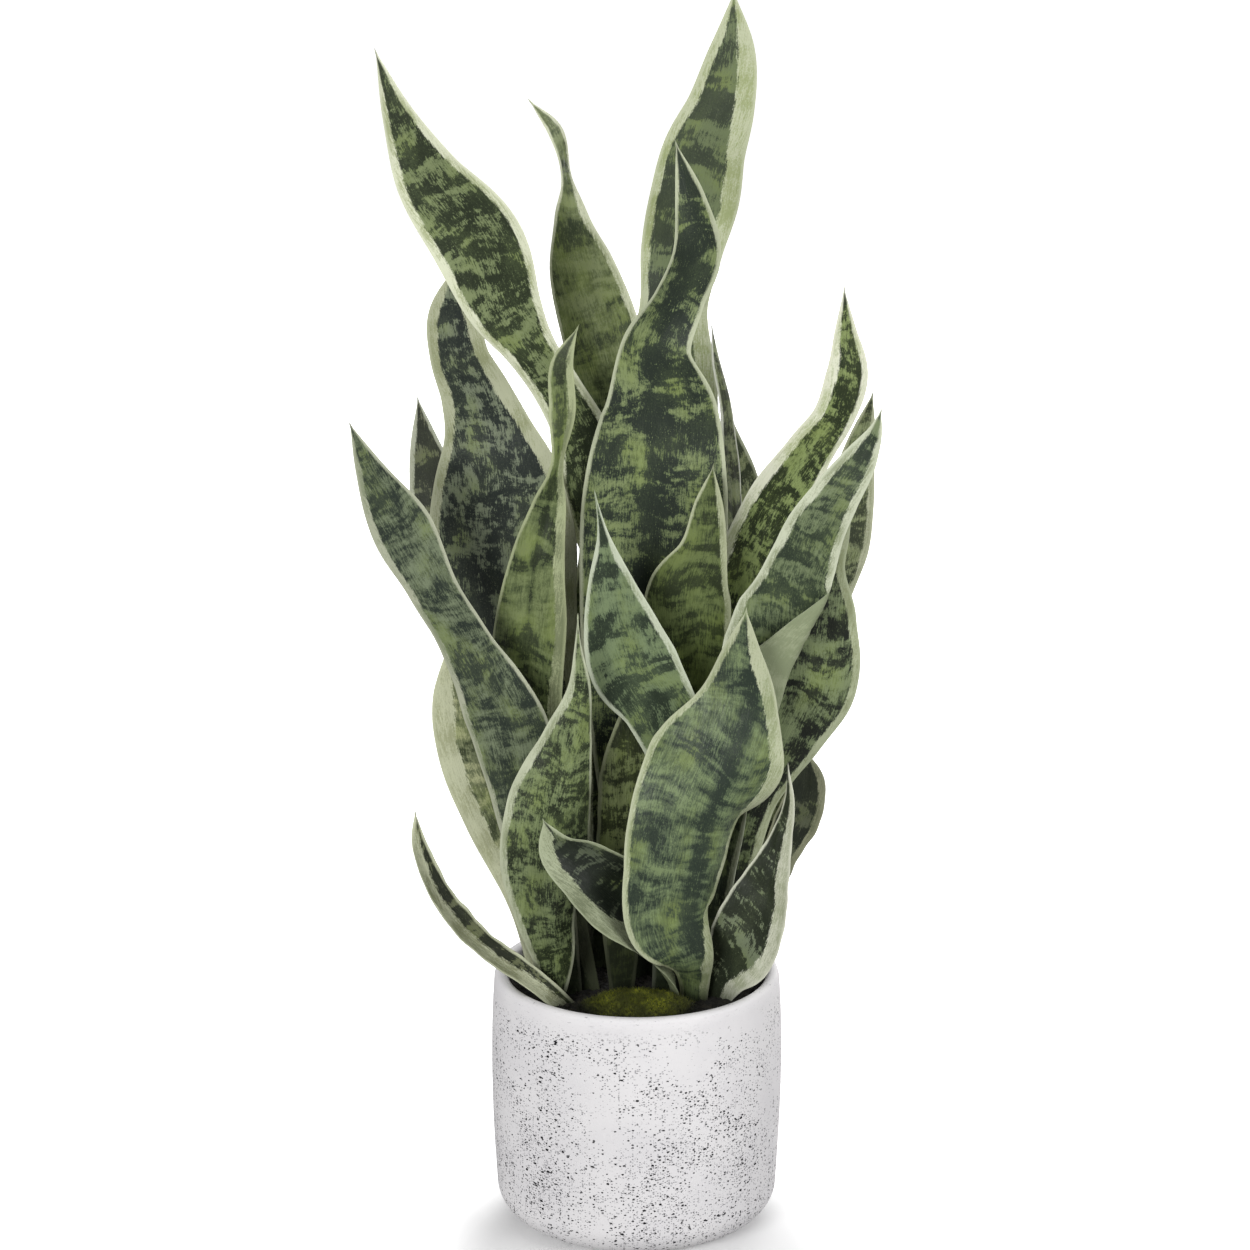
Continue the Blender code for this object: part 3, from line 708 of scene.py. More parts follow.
# Stations of every leaf: x, y, z and half width in mm; roll and the two bends in degrees.
STATIONS: dict[str, list[tuple[float, ...]]] = {
    "leaf_tall_right": [
        (14, 34, 126, 8, 0, 40, 40), (14, 40, 250, 20, 0, 25, 25), (16, 56, 380, 27, 0, 15, 15),
        (17, 60, 446, 27, 5, 10, 10), (19, 62, 498, 22, 32, 10, 10), (24, 62, 528, 23, 14, 5, 5),
        (30, 62, 553, 26, 19, 5, 5), (35, 62, 578, 24, 18, 5, 5), (44, 62, 603, 19, 13, 5, 5),
        (50, 62, 634, 13, 18, 5, 5), (51, 62, 664, 0, 18, 0, 0),
    ],
    "leaf_tall_centre": [
        (4, 10, 126, 8, 0, 40, 40), (4, 10, 230, 24, 0, 15, 15), (7, 8, 348, 38, 0, 10, 10),
        (10, 8, 413, 38, 0, 10, 10), (12, 8, 451, 31, 0, 10, 10), (10, 6, 486, 19, 0, 20, 20),
        (20, 4, 512, 16, 25, 30, 30), (29, 2, 536, 15, 20, 40, 40), (27, 0, 565, 9, 10, 40, 40),
        (20, -2, 594, 0, 0, 0, 0),
    ],
    "leaf_tall_left": [
        (-20, 24, 126, 8, 0, 40, 40), (-14, 26, 240, 14, 0, 25, 25), (-12, 25, 364, 16, 0, 10, 10),
        (-23, 22, 404, 18, 0, 0, 0), (-29, 20, 434, 15, 0, 0, 0), (-41, 15, 459, 13, 0, 0, 0),
        (-56, 8, 484, 14, -5, 0, 0), (-69, 4, 507, 20, -9, 15, 0), (-82, 0, 542, 25, -16, 35, 0),
        (-108, -2, 578, 19, -21, 20, 0), (-123, -2, 609, 10, -26, 0, 0), (-134, 0, 641, 0, -26, 0, 0),
    ],
    "leaf_tall_twisted": [
        (-20, 38, 126, 7, 0, 30, 30), (-26, 37, 280, 17, 0, 20, 20), (-12, 40, 380, 18, 0, 10, 10),
        (-10, 44, 449, 20, -10, 10, 10), (-20, 45, 488, 21, 0, 0, 0), (-30, 44, 523, 17, 0, 0, 0),
        (-35, 42, 549, 9, 10, 0, 0), (-37, 42, 567, 6, 60, 0, 0), (-43, 40, 594, 5, 40, 0, 0),
        (-56, 38, 610, 0, 0, 0, 0),
    ],
    "leaf_broad_back_left": [
        (-42, 12, 126, 8, 0, 40, 40), (-58, 16, 240, 27, -7, 15, -10), (-66, 20, 316, 36, -18, 10, -15),
        (-71, 22, 345, 40, -18, 10, -15), (-73, 24, 385, 40, -18, 10, -15),
        (-76, 26, 418, 33, -18, 10, -10), (-80, 28, 437, 25, -18, 5, -5),
        (-86, 28, 456, 20, -18, 5, -5), (-94, 27, 476, 17, -18, 5, 5), (-97, 26, 500, 14, -18, 5, 5),
        (-97, 24, 524, 0, -18, 0, 0),
    ],
    "leaf_small_back_left": [
        (-46, 28, 126, 6, 0, 30, 30), (-70, 44, 240, 14, -8, 20, 20), (-96, 62, 340, 20, -25, 15, 15),
        (-109, 68, 394, 17, -25, 15, 15), (-115, 70, 420, 9, -25, 15, 15),
        (-119, 70, 443, 0, -25, 0, 0),
    ],
    "leaf_waisted_left": [
        (-26, -8, 126, 7, 0, 30, 30), (-48, -10, 210, 15, -1, 10, 10),
        (-60, -12, 297, 20, -12, -15, -15), (-57, -14, 340, 20, -12, -20, -20),
        (-53, -15, 375, 15, -12, -20, -20), (-46, -16, 406, 9, 8, -10, -10),
        (-42, -18, 428, 5, 48, -5, -5), (-39, -18, 458, 7, -2, 0, 0), (-39, -18, 482, 6, -12, 0, 0),
        (-31, -18, 501, 0, -12, 0, 0),
    ],
    "leaf_leaning_left": [
        (-36, -14, 126, 7, 0, -30, -30), (-50, -24, 200, 16, -3, -20, -20),
        (-60, -28, 252, 21, -12, -15, -15), (-70, -30, 291, 23, -18, -10, -10),
        (-89, -30, 331, 16, -18, -5, -5), (-108, -30, 366, 15, -18, 0, 0),
        (-124, -28, 398, 18, -18, 0, 0), (-140, -28, 430, 8, -18, 0, 0), (-149, -28, 452, 0, -18, 0, 0),
    ],
    "leaf_narrow_back_right": [
        (32, 24, 126, 6, 0, 20, 20), (44, 38, 300, 10, 50, 10, 10), (52, 44, 382, 10, 60, 10, 10),
        (49, 46, 425, 8, 60, 10, 10), (47, 46, 448, 6, 60, 0, 0), (42, 46, 471, 4, 60, 0, 0),
        (40, 46, 488, 0, 60, 0, 0),
    ],
    "leaf_slim_back_right": [
        (36, 40, 126, 7, 0, 30, 30), (52, 60, 280, 16, 4, 20, 20), (60, 72, 374, 13, 15, 10, 10),
        (55, 74, 402, 10, 15, 5, 5), (50, 74, 424, 5, 15, 5, 5), (47, 74, 444, 0, 15, 0, 0),
    ],
    "leaf_tall_outer_right": [
        (30, 10, 126, 7, 0, 30, 30), (42, 16, 240, 13, 0, 20, 20), (54, 18, 345, 18, 7, 10, 10),
        (65, 18, 378, 18, 12, 5, 5), (77, 20, 402, 18, 15, 5, 5), (92, 22, 426, 14, 15, 5, 5),
        (104, 22, 444, 12, 15, 5, 5), (111, 22, 467, 12, 15, 5, 5), (110, 22, 492, 6, 15, 0, 0),
        (109, 22, 514, 0, 15, 0, 0),
    ],
    "leaf_back_outer_right": [
        (50, 26, 126, 7, 0, 30, 30), (78, 38, 240, 12, 9, 20, 20), (104, 50, 330, 12, 28, 10, 10),
        (113, 54, 362, 15, 28, 5, 5), (117, 54, 400, 14, 28, 5, 5), (123, 54, 431, 7, 28, 0, 0),
        (127, 52, 450, 0, 28, 0, 0),
    ],
    "leaf_folded_right": [
        (38, -8, 126, 5, 0, -20, 5, 0.1), (49, -10, 220, 12, 0, 0, 60, 0.1),
        (68, -13, 290, 28, 0, 0, 150, 0.1), (80, -12, 330, 33, 0, 0, 165, 0.15),
        (82, -12, 350, 28, 0, 0, 165, 0.48), (84, -13, 364, 20, 0, 0, 165, 0.85),
        (88, -14, 376, 18, 0, 0, 120, 1), (94, -16, 393, 16, 0, 0, 20, 1),
        (104, -18, 411, 13, 0, 0, 0, 1), (117, -18, 432, 9, 0, 0, 0, 1), (124, -18, 446, 4, 0, 0, 0, 1),
        (127, -18, 457, 0, 0, 0, 0, 1),
    ],
    "leaf_broad_low_right": [
        (54, -2, 126, 5, 0, -30, -30), (56, 3, 198, 10, 3, -25, -25), (66, 2, 236, 12, 10, -25, -25),
        (82, 2, 269, 20, 14, -25, -25), (94, 3, 297, 28, 14, -25, -25), (99, 5, 336, 21, 14, -20, -20),
        (102, 6, 368, 10, 14, -10, -10), (108, 7, 384, 6, 14, -5, -5), (114, 8, 396, 0, 14, 0, 0),
    ],
    "leaf_broad_front": [
        (31, -24, 126, 7, 0, -20, -20), (31, -30, 144, 9, 0, -20, -20),
        (29, -46, 164, 16, 11, -10, -50), (21, -53, 186, 27, 12, 0, -60),
        (25, -55, 217, 33, 10, 0, -70), (32, -53, 248, 36, 10, -20, -66),
        (45, -46, 279, 36, 0, -20, -25), (53, -40, 306, 22, 0, -25, -25),
        (55, -40, 334, 10, 0, -25, -25), (57, -40, 355, 0, 0, 0, 0),
    ],
    "leaf_bowl_front_right": [
        (42, -20, 126, 6, -20, 20, 20), (48, -25, 146, 14, -22, 20, 30),
        (58, -33, 165, 21, -24, 25, 35), (67, -36, 190, 19, -30, 25, 35),
        (76, -38, 224, 9, -45, 10, 10), (81, -37, 249, 5, -60, 0, 0), (80, -34, 268, 0, -60, 0, 0),
    ],
    "leaf_low_back_right": [
        (60, 12, 126, 5, 0, 20, 20), (67, 13, 165, 8, 8, 20, 20), (76, 16, 196, 11, 19, 20, 20),
        (87, 16, 222, 14, 20, 20, 20), (92, 16, 242, 11, 20, 20, 20), (90, 14, 262, 0, 20, 0, 0),
    ],
    "leaf_pointed_centre": [
        (14, -12, 126, 6, 0, 0, 0), (22, -22, 200, 12, -2, 5, 5), (28, -25, 251, 16, -8, 5, 5),
        (13, -26, 296, 21, -12, 5, 5), (-1, -27, 320, 25, -12, 5, 5), (-9, -28, 345, 20, -12, 5, 5),
        (-14, -28, 369, 12, -12, 5, 5), (-18, -28, 394, 3, -12, 0, 0), (-22, -28, 415, 0, -12, 0, 0),
    ],
    "leaf_centre_right": [
        (24, -2, 126, 6, 0, 0, 0), (24, -3, 220, 18, 0, -5, -5), (25, -3, 285, 23, 0, -5, -5),
        (26, -4, 329, 24, 0, -5, -5), (28, -5, 357, 22, 0, -5, -5), (35, -6, 379, 13, 0, 0, 0),
        (38, -6, 406, 7, 0, 0, 0), (40, -6, 424, 0, 0, 0, 0),
    ],
    "leaf_front_left": [
        (-45, -20, 126, 5, 0, -10, -10), (-45, -34, 159, 12, 4, -20, -20),
        (-48, -46, 186, 17, 9, -20, -30), (-48, -50, 220, 25, 12, -20, -30),
        (-44, -49, 253, 24, 12, -20, -40), (-36, -47, 286, 15, 12, -20, -40),
        (-30, -45, 313, 7, 12, -20, -40), (-31, -44, 336, 2, 12, 0, 0), (-31, -44, 353, 0, 12, 0, 0),
    ],
    "leaf_inner_centre": [
        (-8, -12, 126, 6, 0, 0, 0), (-8, -16, 180, 12, 6, 0, 0), (-6, -18, 226, 16, 15, 0, 0),
        (-6, -18, 265, 13, 15, 0, 0), (-5, -16, 302, 0, 15, 0, 0),
    ],
    "leaf_short_front": [
        (20, -25, 126, 9, 80, 80, 40), (19, -28, 142, 11, 70, 75, 45), (14, -32, 158, 15, 55, 60, 45),
        (5, -37, 177, 20, 42, 50, 50), (-11, -46, 197, 25, 32, 50, 60), (-29, -57, 218, 20, 20, 50, 60),
        (-43, -62, 232, 11, 10, 40, 40), (-49, -64, 247, 0, 0, 0, 0),
    ],
    "leaf_low_left": [
        (-34, -28, 126, 4, 0, 20, 20), (-57, -40, 148, 8, 50, 50, 50), (-82, -43, 167, 10, 60, 50, 50),
        (-105, -41, 193, 10, 60, 50, 50), (-116, -38, 221, 6, 40, 50, 50), (-118, -36, 242, 0, 0, 0, 0),
    ],
    "leaf_pale_back_left": [
        (-50, -4, 126, 6, 0, -20, -20), (-60, -8, 183, 11, 5, -20, -20),
        (-78, -6, 228, 15, 12, -20, -20), (-90, -4, 261, 16, 12, -20, -20),
        (-96, -4, 295, 14, 12, -20, -20), (-100, -6, 329, 0, 12, 0, 0),
    ],
    "leaf_thin_low_left": [
        (-58, 13, 126, 5, 0, 10, 10), (-57, 20, 156, 7, 0, 10, 10), (-63, 23, 182, 8, -8, 10, 10),
        (-80, 22, 206, 6, -20, 10, 10), (-95, 20, 228, 0, -20, 0, 0),
    ],
}

# Colours, margins and pattern of every leaf.
FINISHES: dict[str, BladeFinish] = {
    "leaf_tall_right": BladeFinish(
        *shades((106, 118, 84), (80, 90, 66), (54, 62, 48), (194, 200, 168), (156, 166, 118)),
        left=(4.0, 5.5), right=(9.0, 11.0), darkness=0.62, bands=1.4, fine_bands=0.3, blotches=0.5,
        size=1.2,
    ),
    "leaf_tall_centre": BladeFinish(
        *shades((128, 141, 96), (72, 84, 60), (33, 42, 34), (190, 196, 166), (150, 158, 124)),
        left=(2.0, 2.2), right=(2.0, 2.4), bands=0.8, blotches=0.9, groove_shade=(0.0, 6.0, 0.8), flecks=1.7,
    ),
    "leaf_tall_left": BladeFinish(
        *shades((125, 137, 96), (78, 90, 59), (36, 44, 27), (222, 226, 198), (172, 180, 138)),
        left=(3.0, 5.0), right=(3.0, 4.5), darkness=0.58, bands=0.7, blotches=0.9,
    ),
    "leaf_tall_twisted": BladeFinish(
        *shades((128, 138, 98), (89, 99, 67), (46, 56, 36), (208, 212, 184), (160, 168, 130)),
        left=(1.5, 1.5), right=(3.5, 4.0), darkness=0.34,
    ),
    "leaf_broad_back_left": BladeFinish(
        *shades((122, 131, 108), (72, 80, 67), (30, 38, 34), (186, 190, 160), (152, 158, 120)),
        left=(6.0, 6.0), right=(10.0, 8.0), darkness=0.58, bands=0.7, blotches=1.1, size=1.1,
    ),
    "leaf_small_back_left": BladeFinish(
        *shades((106, 110, 87), (75, 80, 64), (46, 50, 40), (184, 188, 168), (140, 146, 116)),
        left=(3.0, 3.0), right=(2.5, 2.5), darkness=0.7,
    ),
    "leaf_waisted_left": BladeFinish(
        *shades((118, 130, 86), (84, 96, 60), (32, 41, 23), (168, 176, 136), (124, 132, 98)),
        left=(2.0, 1.5), right=(11.0, 3.0), darkness=0.34, groove_shade=(-1.0, 2.5, 0.8),
    ),
    "leaf_leaning_left": BladeFinish(
        *shades((118, 129, 102), (76, 86, 66), (34, 44, 37), (176, 180, 156), (140, 148, 120)),
        left=(2.5, 4.5), right=(1.8, 1.8), darkness=0.44, bands=0.8, blotches=0.5, shaded=(10.0, 60.0),
    ),
    "leaf_narrow_back_right": BladeFinish(
        *shades((140, 148, 112), (84, 92, 66), (32, 37, 22), (220, 222, 208), (156, 162, 128)),
        left=(2.5, 2.5), right=(1.3, 1.3),
    ),
    "leaf_slim_back_right": BladeFinish(
        *shades((152, 160, 122), (96, 105, 78), (50, 58, 41), (190, 194, 170), (150, 156, 122)),
        left=(2.0, 2.0), right=(1.8, 1.8),
    ),
    "leaf_tall_outer_right": BladeFinish(
        *shades((134, 149, 94), (86, 98, 60), (34, 43, 22), (226, 228, 206), (180, 188, 146)),
        left=(5.5, 6.5), right=(2.5, 3.5), darkness=0.55, bands=0.5, blotches=1.0, size=0.85,
    ),
    "leaf_back_outer_right": BladeFinish(
        *shades((148, 158, 117), (92, 99, 73), (48, 55, 38), (190, 194, 164), (150, 156, 124)),
        left=(1.6, 1.6), right=(3.5, 4.5), darkness=0.45,
    ),
    "leaf_folded_right": BladeFinish(
        *shades((118, 131, 96), (84, 97, 69), (40, 51, 38), (206, 212, 186), (156, 164, 132)),
        left=(4.0, 5.0), right=(3.5, 4.5), darkness=0.46, underside=1.0,
    ),
    "leaf_broad_low_right": BladeFinish(
        *shades((125, 138, 100), (64, 74, 52), (18, 23, 15), (180, 188, 154), (146, 154, 116)),
        left=(1.8, 1.8), right=(5.0, 6.5), bands=0.9,
    ),
    "leaf_broad_front": BladeFinish(
        *shades((119, 135, 95), (78, 91, 68), (36, 47, 38), (186, 192, 160), (146, 156, 116)),
        left=(2.5, 4.0), right=(8.0, 9.0), darkness=0.36, bands=0.75, fine_bands=0.55, blotches=0.5,
        groove_shade=(7.0, 4.5, 0.85), shaded=FOOT_IN_LIGHT,
    ),
    "leaf_bowl_front_right": BladeFinish(
        *shades((116, 126, 100), (72, 80, 60), (36, 42, 30), (216, 218, 198), (170, 176, 146)),
        left=(1.5, 1.5), right=(9.0, 12.0), darkness=0.78, bands=1.2, fine_bands=0.6, slant=0.3,
        shaded=FOOT_IN_LIGHT,
    ),
    "leaf_low_back_right": BladeFinish(
        *shades((86, 91, 71), (55, 60, 45), (30, 36, 25), (150, 152, 124), (116, 120, 92)),
        left=(1.5, 1.5), right=(4.0, 4.0), darkness=0.7,
    ),
    "leaf_pointed_centre": BladeFinish(
        *shades((119, 135, 99), (90, 105, 78), (38, 49, 36), (198, 206, 182), (158, 168, 136)),
        left=(2.2, 2.2), right=(3.0, 3.8), darkness=0.48,
    ),
    "leaf_centre_right": BladeFinish(
        *shades((102, 115, 69), (72, 84, 47), (38, 47, 24), (176, 182, 148), (136, 144, 108)),
        left=(1.5, 1.5), right=(3.0, 3.5), darkness=0.44,
    ),
    "leaf_front_left": BladeFinish(
        *shades((124, 137, 95), (83, 95, 65), (27, 34, 19), (186, 192, 164), (146, 154, 122)),
        left=(3.5, 4.5), right=(2.0, 2.0), darkness=0.48, bands=0.5, blotches=1.0, size=0.8, flecks=1.9,
        shaded=FOOT_IN_LIGHT,
    ),
    "leaf_inner_centre": BladeFinish(
        *shades((122, 132, 90), (78, 88, 54), (40, 46, 28), (150, 156, 122), (110, 118, 84)),
        left=(2.0, 2.0), right=(2.0, 2.0), darkness=0.6,
    ),
    "leaf_short_front": BladeFinish(
        *shades((86, 94, 76), (48, 56, 44), (28, 34, 26), (170, 178, 146), (126, 134, 104)),
        left=(22.0, 8.0), right=(2.0, 2.5), darkness=0.66, fine_bands=0.8, underside=1.0,
        shaded=FOOT_IN_LIGHT,
    ),
    "leaf_low_left": BladeFinish(
        *shades((103, 108, 78), (59, 64, 44), (34, 39, 26), (196, 200, 170), (140, 144, 112)),
        left=(24.0, 10.0), right=(1.5, 1.5), darkness=0.7, shaded=FOOT_IN_LIGHT,
    ),
    "leaf_pale_back_left": BladeFinish(
        *shades((178, 182, 139), (112, 120, 88), (58, 66, 44), (200, 204, 172), (170, 174, 138)),
        left=(9.0, 13.0), right=(2.0, 2.0), darkness=0.3, shaded=FOOT_IN_LIGHT,
    ),
    "leaf_thin_low_left": BladeFinish(
        *shades((108, 115, 82), (73, 80, 55), (44, 51, 32), (184, 188, 160), (140, 146, 112)),
        left=(2.0, 2.0), right=(2.0, 2.0), darkness=0.6,
    ),
}


def leaves() -> list[Leaf]:
    """Every leaf with its own finish.

    Returns:
        The leaves, each with its ripples and pattern started at a place of its own.
    """
    return [
        Leaf(name, stations, FINISHES[name], seed=2.7 * number + 1.0)
        for number, (name, stations) in enumerate(STATIONS.items())
    ]


# ---------------------------------------------------------------- planter


def wall_radius(z: np.ndarray) -> np.ndarray:
    """Outer radius of the planter: a parabola each way from its fullest height.

    Args:
        z: Heights.

    Returns:
        The radius at each height.
    """
    above = np.clip((z - POT_BELLY_HEIGHT) / (POT_HEIGHT - POT_BELLY_HEIGHT), 0.0, 1.0)
    below = np.clip((POT_BELLY_HEIGHT - z) / (POT_BELLY_HEIGHT - POT_FOOT_ROUND), 0.0, 1.0)
    top_in, foot_in = POT_BELLY_RADIUS - POT_RIM_RADIUS, POT_BELLY_RADIUS - POT_FOOT_RADIUS
    return POT_BELLY_RADIUS - top_in * above**2 - foot_in * below**2


def arc(centre: tuple[float, float], radius: float, start: float, end: float, count: int) -> np.ndarray:
    """Points of an arc in the profile's plane.

    Args:
        centre: Its centre, as a radius and a height.
        radius: Its radius.
        start: Angle of its first point, in degrees from +X towards +Z.
        end: Angle of its last point.
        count: How many points.

    Returns:
        Points as a radius and a height, one row each.
    """
    angle = np.radians(np.linspace(start, end, count))
    return np.stack([centre[0] + radius * np.cos(angle), centre[1] + radius * np.sin(angle)], axis=1)


@dataclass(frozen=True)
class StoneFinish:
    """Pale cast stone, pitted and speckled in clusters, plainer at the rim."""

    base: Colour = shade(228, 226, 227)
    cloud: Colour = shade(214, 212, 215)
    speck: Colour = shade(22, 22, 26)
    grey_speck: Colour = shade(104, 104, 110)
    scales: tuple[float, float, float] = (250.0, 430.0, 820.0)
    plain_rim: tuple[float, float] = (124 * MM, 134 * MM)

    def build(self, name: str) -> bpy.types.Material:
        """Paint the planter.

        Each speck fills a cell of scattered points out to a reach that the cell's own random
        number and a slow cluster noise allow, so that specks gather in patches.

        Args:
            name: The material's name.

        Returns:
            The material.
        """
        g = Graph(name)
        place = g.place()
        x, y, height = g.split(place)
        rim = height.fall(*self.plain_rim)
        cluster = g.noise(place, 4.0, 0.65, 30.0)
        low = height.fall(40 * MM, 110 * MM) * 0.1
        patch = cluster * 2.0 - 0.46 + low
        bend = g.noise(place, 2.0, 0.6, 700.0) - 0.5
        clouds = g.noise(place, 4.0, 0.6, 24.0).rise(0.35, 0.7)
        flat = g.point(x + bend * 0.0012, y - bend * 0.0012, height * 1.5 + bend * 0.001)
        large, middle, small = self.scales
        pits = self.specks(g, flat, large, patch - 0.3, 0.27, bend)
        specks = self.specks(g, flat, middle, patch - 0.08, 0.32, bend)
        grit = self.specks(g, flat, small, patch - 0.1, 0.42, bend)
        scratch = g.noise(g.point(x * 260.0, y * 260.0, height * 1100.0), 3.0, 0.7).rise(0.64, 0.72)
        shown = rim * 0.94 + 0.06
        paint = g.mix(clouds * 0.5, self.base, self.cloud)
        paint = g.mix(scratch * patch.rise(0.0, 0.5) * 0.5, paint, self.grey_speck)
        paint = g.mix(grit * shown * 0.7, paint, self.grey_speck)
        paint = g.mix(specks * shown * 0.95, paint, self.speck)
        paint = g.mix(pits * shown, paint, self.speck)
        grain = g.noise(place, 5.0, 0.68, 420.0)
        hollows = specks * rim + pits * rim * 1.6 + grit * rim * 0.5
        sunk = grain * 0.5 + clouds * 0.2 - scratch * 0.2 - hollows
        normal = g.bump(sunk, 0.5 * MM, 0.6)
        gloss = 0.62 + grain * 0.12 + specks * 0.15
        return g.finish(Base_Color=paint, Roughness=gloss, Normal=normal, Specular_IOR_Level=0.3)

    def specks(
        self, g: Graph, place: Value, scale: float, patch: Value, reach: float, bend: Value
    ) -> Value:
        """Ragged specks, 1 inside and 0 outside, more of them where the patch value is high.

        Args:
            g: The material's graph.
            place: Where on the planter.
            scale: Cells in a metre.
            patch: How many of the cells hold a speck.
            reach: A speck's largest radius, as a share of its cell.
            bend: Noise that makes the outline ragged.

        Returns:
            The specks' mask.
        """
        distance = g.cells(place, scale)
        chance, _, _ = g.split(g.cells(place, scale, "Color"))
        grown = (patch - chance).rise(0.0, 0.32) * reach
        return (grown - distance + bend * 0.22).rise(0.0, 0.035)


@dataclass
class Planter:
    """The cast planter: a round pot with a full belly, a rounded lip and a rounded foot."""

    name: str = "pot"
    around: int = 240
    unevenness: float = 0.2 * MM
    finish: StoneFinish = field(default_factory=StoneFinish)

    def profile(self) -> np.ndarray:
        """Half section from the inner floor up the inside, over the lip and down the outside.

        Returns:
            Points as a radius and a height, one row each.
        """
        inner_round = POT_FOOT_ROUND - POT_WALL
        foot = POT_FOOT_RADIUS - POT_FOOT_ROUND
        lip_z = POT_HEIGHT - LIP_ROUND
        inner_z = np.linspace(POT_FLOOR + inner_round + 4 * MM, lip_z - 3.3 * MM, 26)
        outer_z = np.linspace(lip_z - 0.8 * MM, POT_FOOT_ROUND + 2 * MM, 46)
        floor = np.stack([np.linspace(4 * MM, foot - 4 * MM, 6), np.full(6, POT_FLOOR)], axis=1)
        base = np.stack([np.linspace(foot - 3 * MM, 4 * MM, 8), np.zeros(8)], axis=1)
        parts = [
            floor,
            arc((foot, POT_FLOOR + inner_round), inner_round, -90, 0, 8),
            np.stack([wall_radius(inner_z) - POT_WALL, inner_z], axis=1),
            arc((POT_RIM_RADIUS - POT_WALL + LIP_ROUND, lip_z), LIP_ROUND, 176, 90, 9),
            arc((POT_RIM_RADIUS - LIP_ROUND, lip_z), LIP_ROUND, 88, 0, 9),
            np.stack([wall_radius(outer_z), outer_z], axis=1),
            arc((foot, POT_FOOT_ROUND), POT_FOOT_ROUND, 0, -90, 16),
            base,
        ]
        return np.concatenate(parts)

    def build(self) -> bpy.types.Mesh:
        """Turn the half section about Z, taking in up to twice the unevenness by slow sines.

        Returns:
            The mesh.
        """
        profile = self.profile()
        angle = np.linspace(0.0, 2 * math.pi, self.around, endpoint=False)
        radius = profile[:, :1]
        wobble = np.sin(2 * angle + 0.6) + 0.6 * np.sin(3 * angle + 40 * profile[:, 1:2])
        lift = np.clip(profile[:, 1:2] / (30 * MM), 0.0, 1.0)
        radius = radius - self.unevenness * (1 + wobble / 1.6) * lift * (radius > 20 * MM)
        height = np.broadcast_to(profile[:, 1:2], radius.shape)
        points = np.stack([radius * np.cos(angle), radius * np.sin(angle), height], axis=2)
        rows = len(profile)
        ends = np.array([[0.0, 0.0, POT_FLOOR], [0.0, 0.0, 0.0]])
        last = rows * self.around
        inner = cap_faces(np.arange(self.around), last, False)
        under = cap_faces(np.arange(last - self.around, last), last + 1, True)
        tube = tube_faces(rows, self.around)[:, ::-1]
        return make_mesh(self.name, np.concatenate([points.reshape(-1, 3), ends]), [tube, inner, under])

    def make(self) -> None:
        """Build the planter, dress it and join it to the model."""
        add_piece("pot_cast", self.build(), self.finish.build("pot_stone"), self.name)


# ---------------------------------------------------------------- soil and moss


@dataclass(frozen=True)
class EarthFinish:
    """Loose dark potting soil."""

    dark: Colour = shade(16, 15, 11)
    brown: Colour = shade(42, 38, 28)
    bark: Colour = shade(76, 70, 54)
    roughness: float = 0.95

    def build(self, name: str) -> bpy.types.Material:
        """Paint the soil: dark, with browner crumbs and a few pale fibres.

        Args:
            name: The material's name.

        Returns:
            The material.
        """
        g = Graph(name)
        place = g.place()
        crumbs = g.noise(place, 4.0, 0.7, 260.0).rise(0.45, 0.7)
        fibres = g.noise(place, 3.0, 0.7, 700.0).rise(0.62, 0.72)
        paint = g.mix(crumbs, self.dark, self.brown)
        paint = g.mix(fibres * 0.6, paint, self.bark)
        normal = g.bump(g.noise(place, 5.0, 0.7, 420.0), 1.2 * MM, 0.8)
        return g.finish(Base_Color=paint, Roughness=self.roughness, Normal=normal)


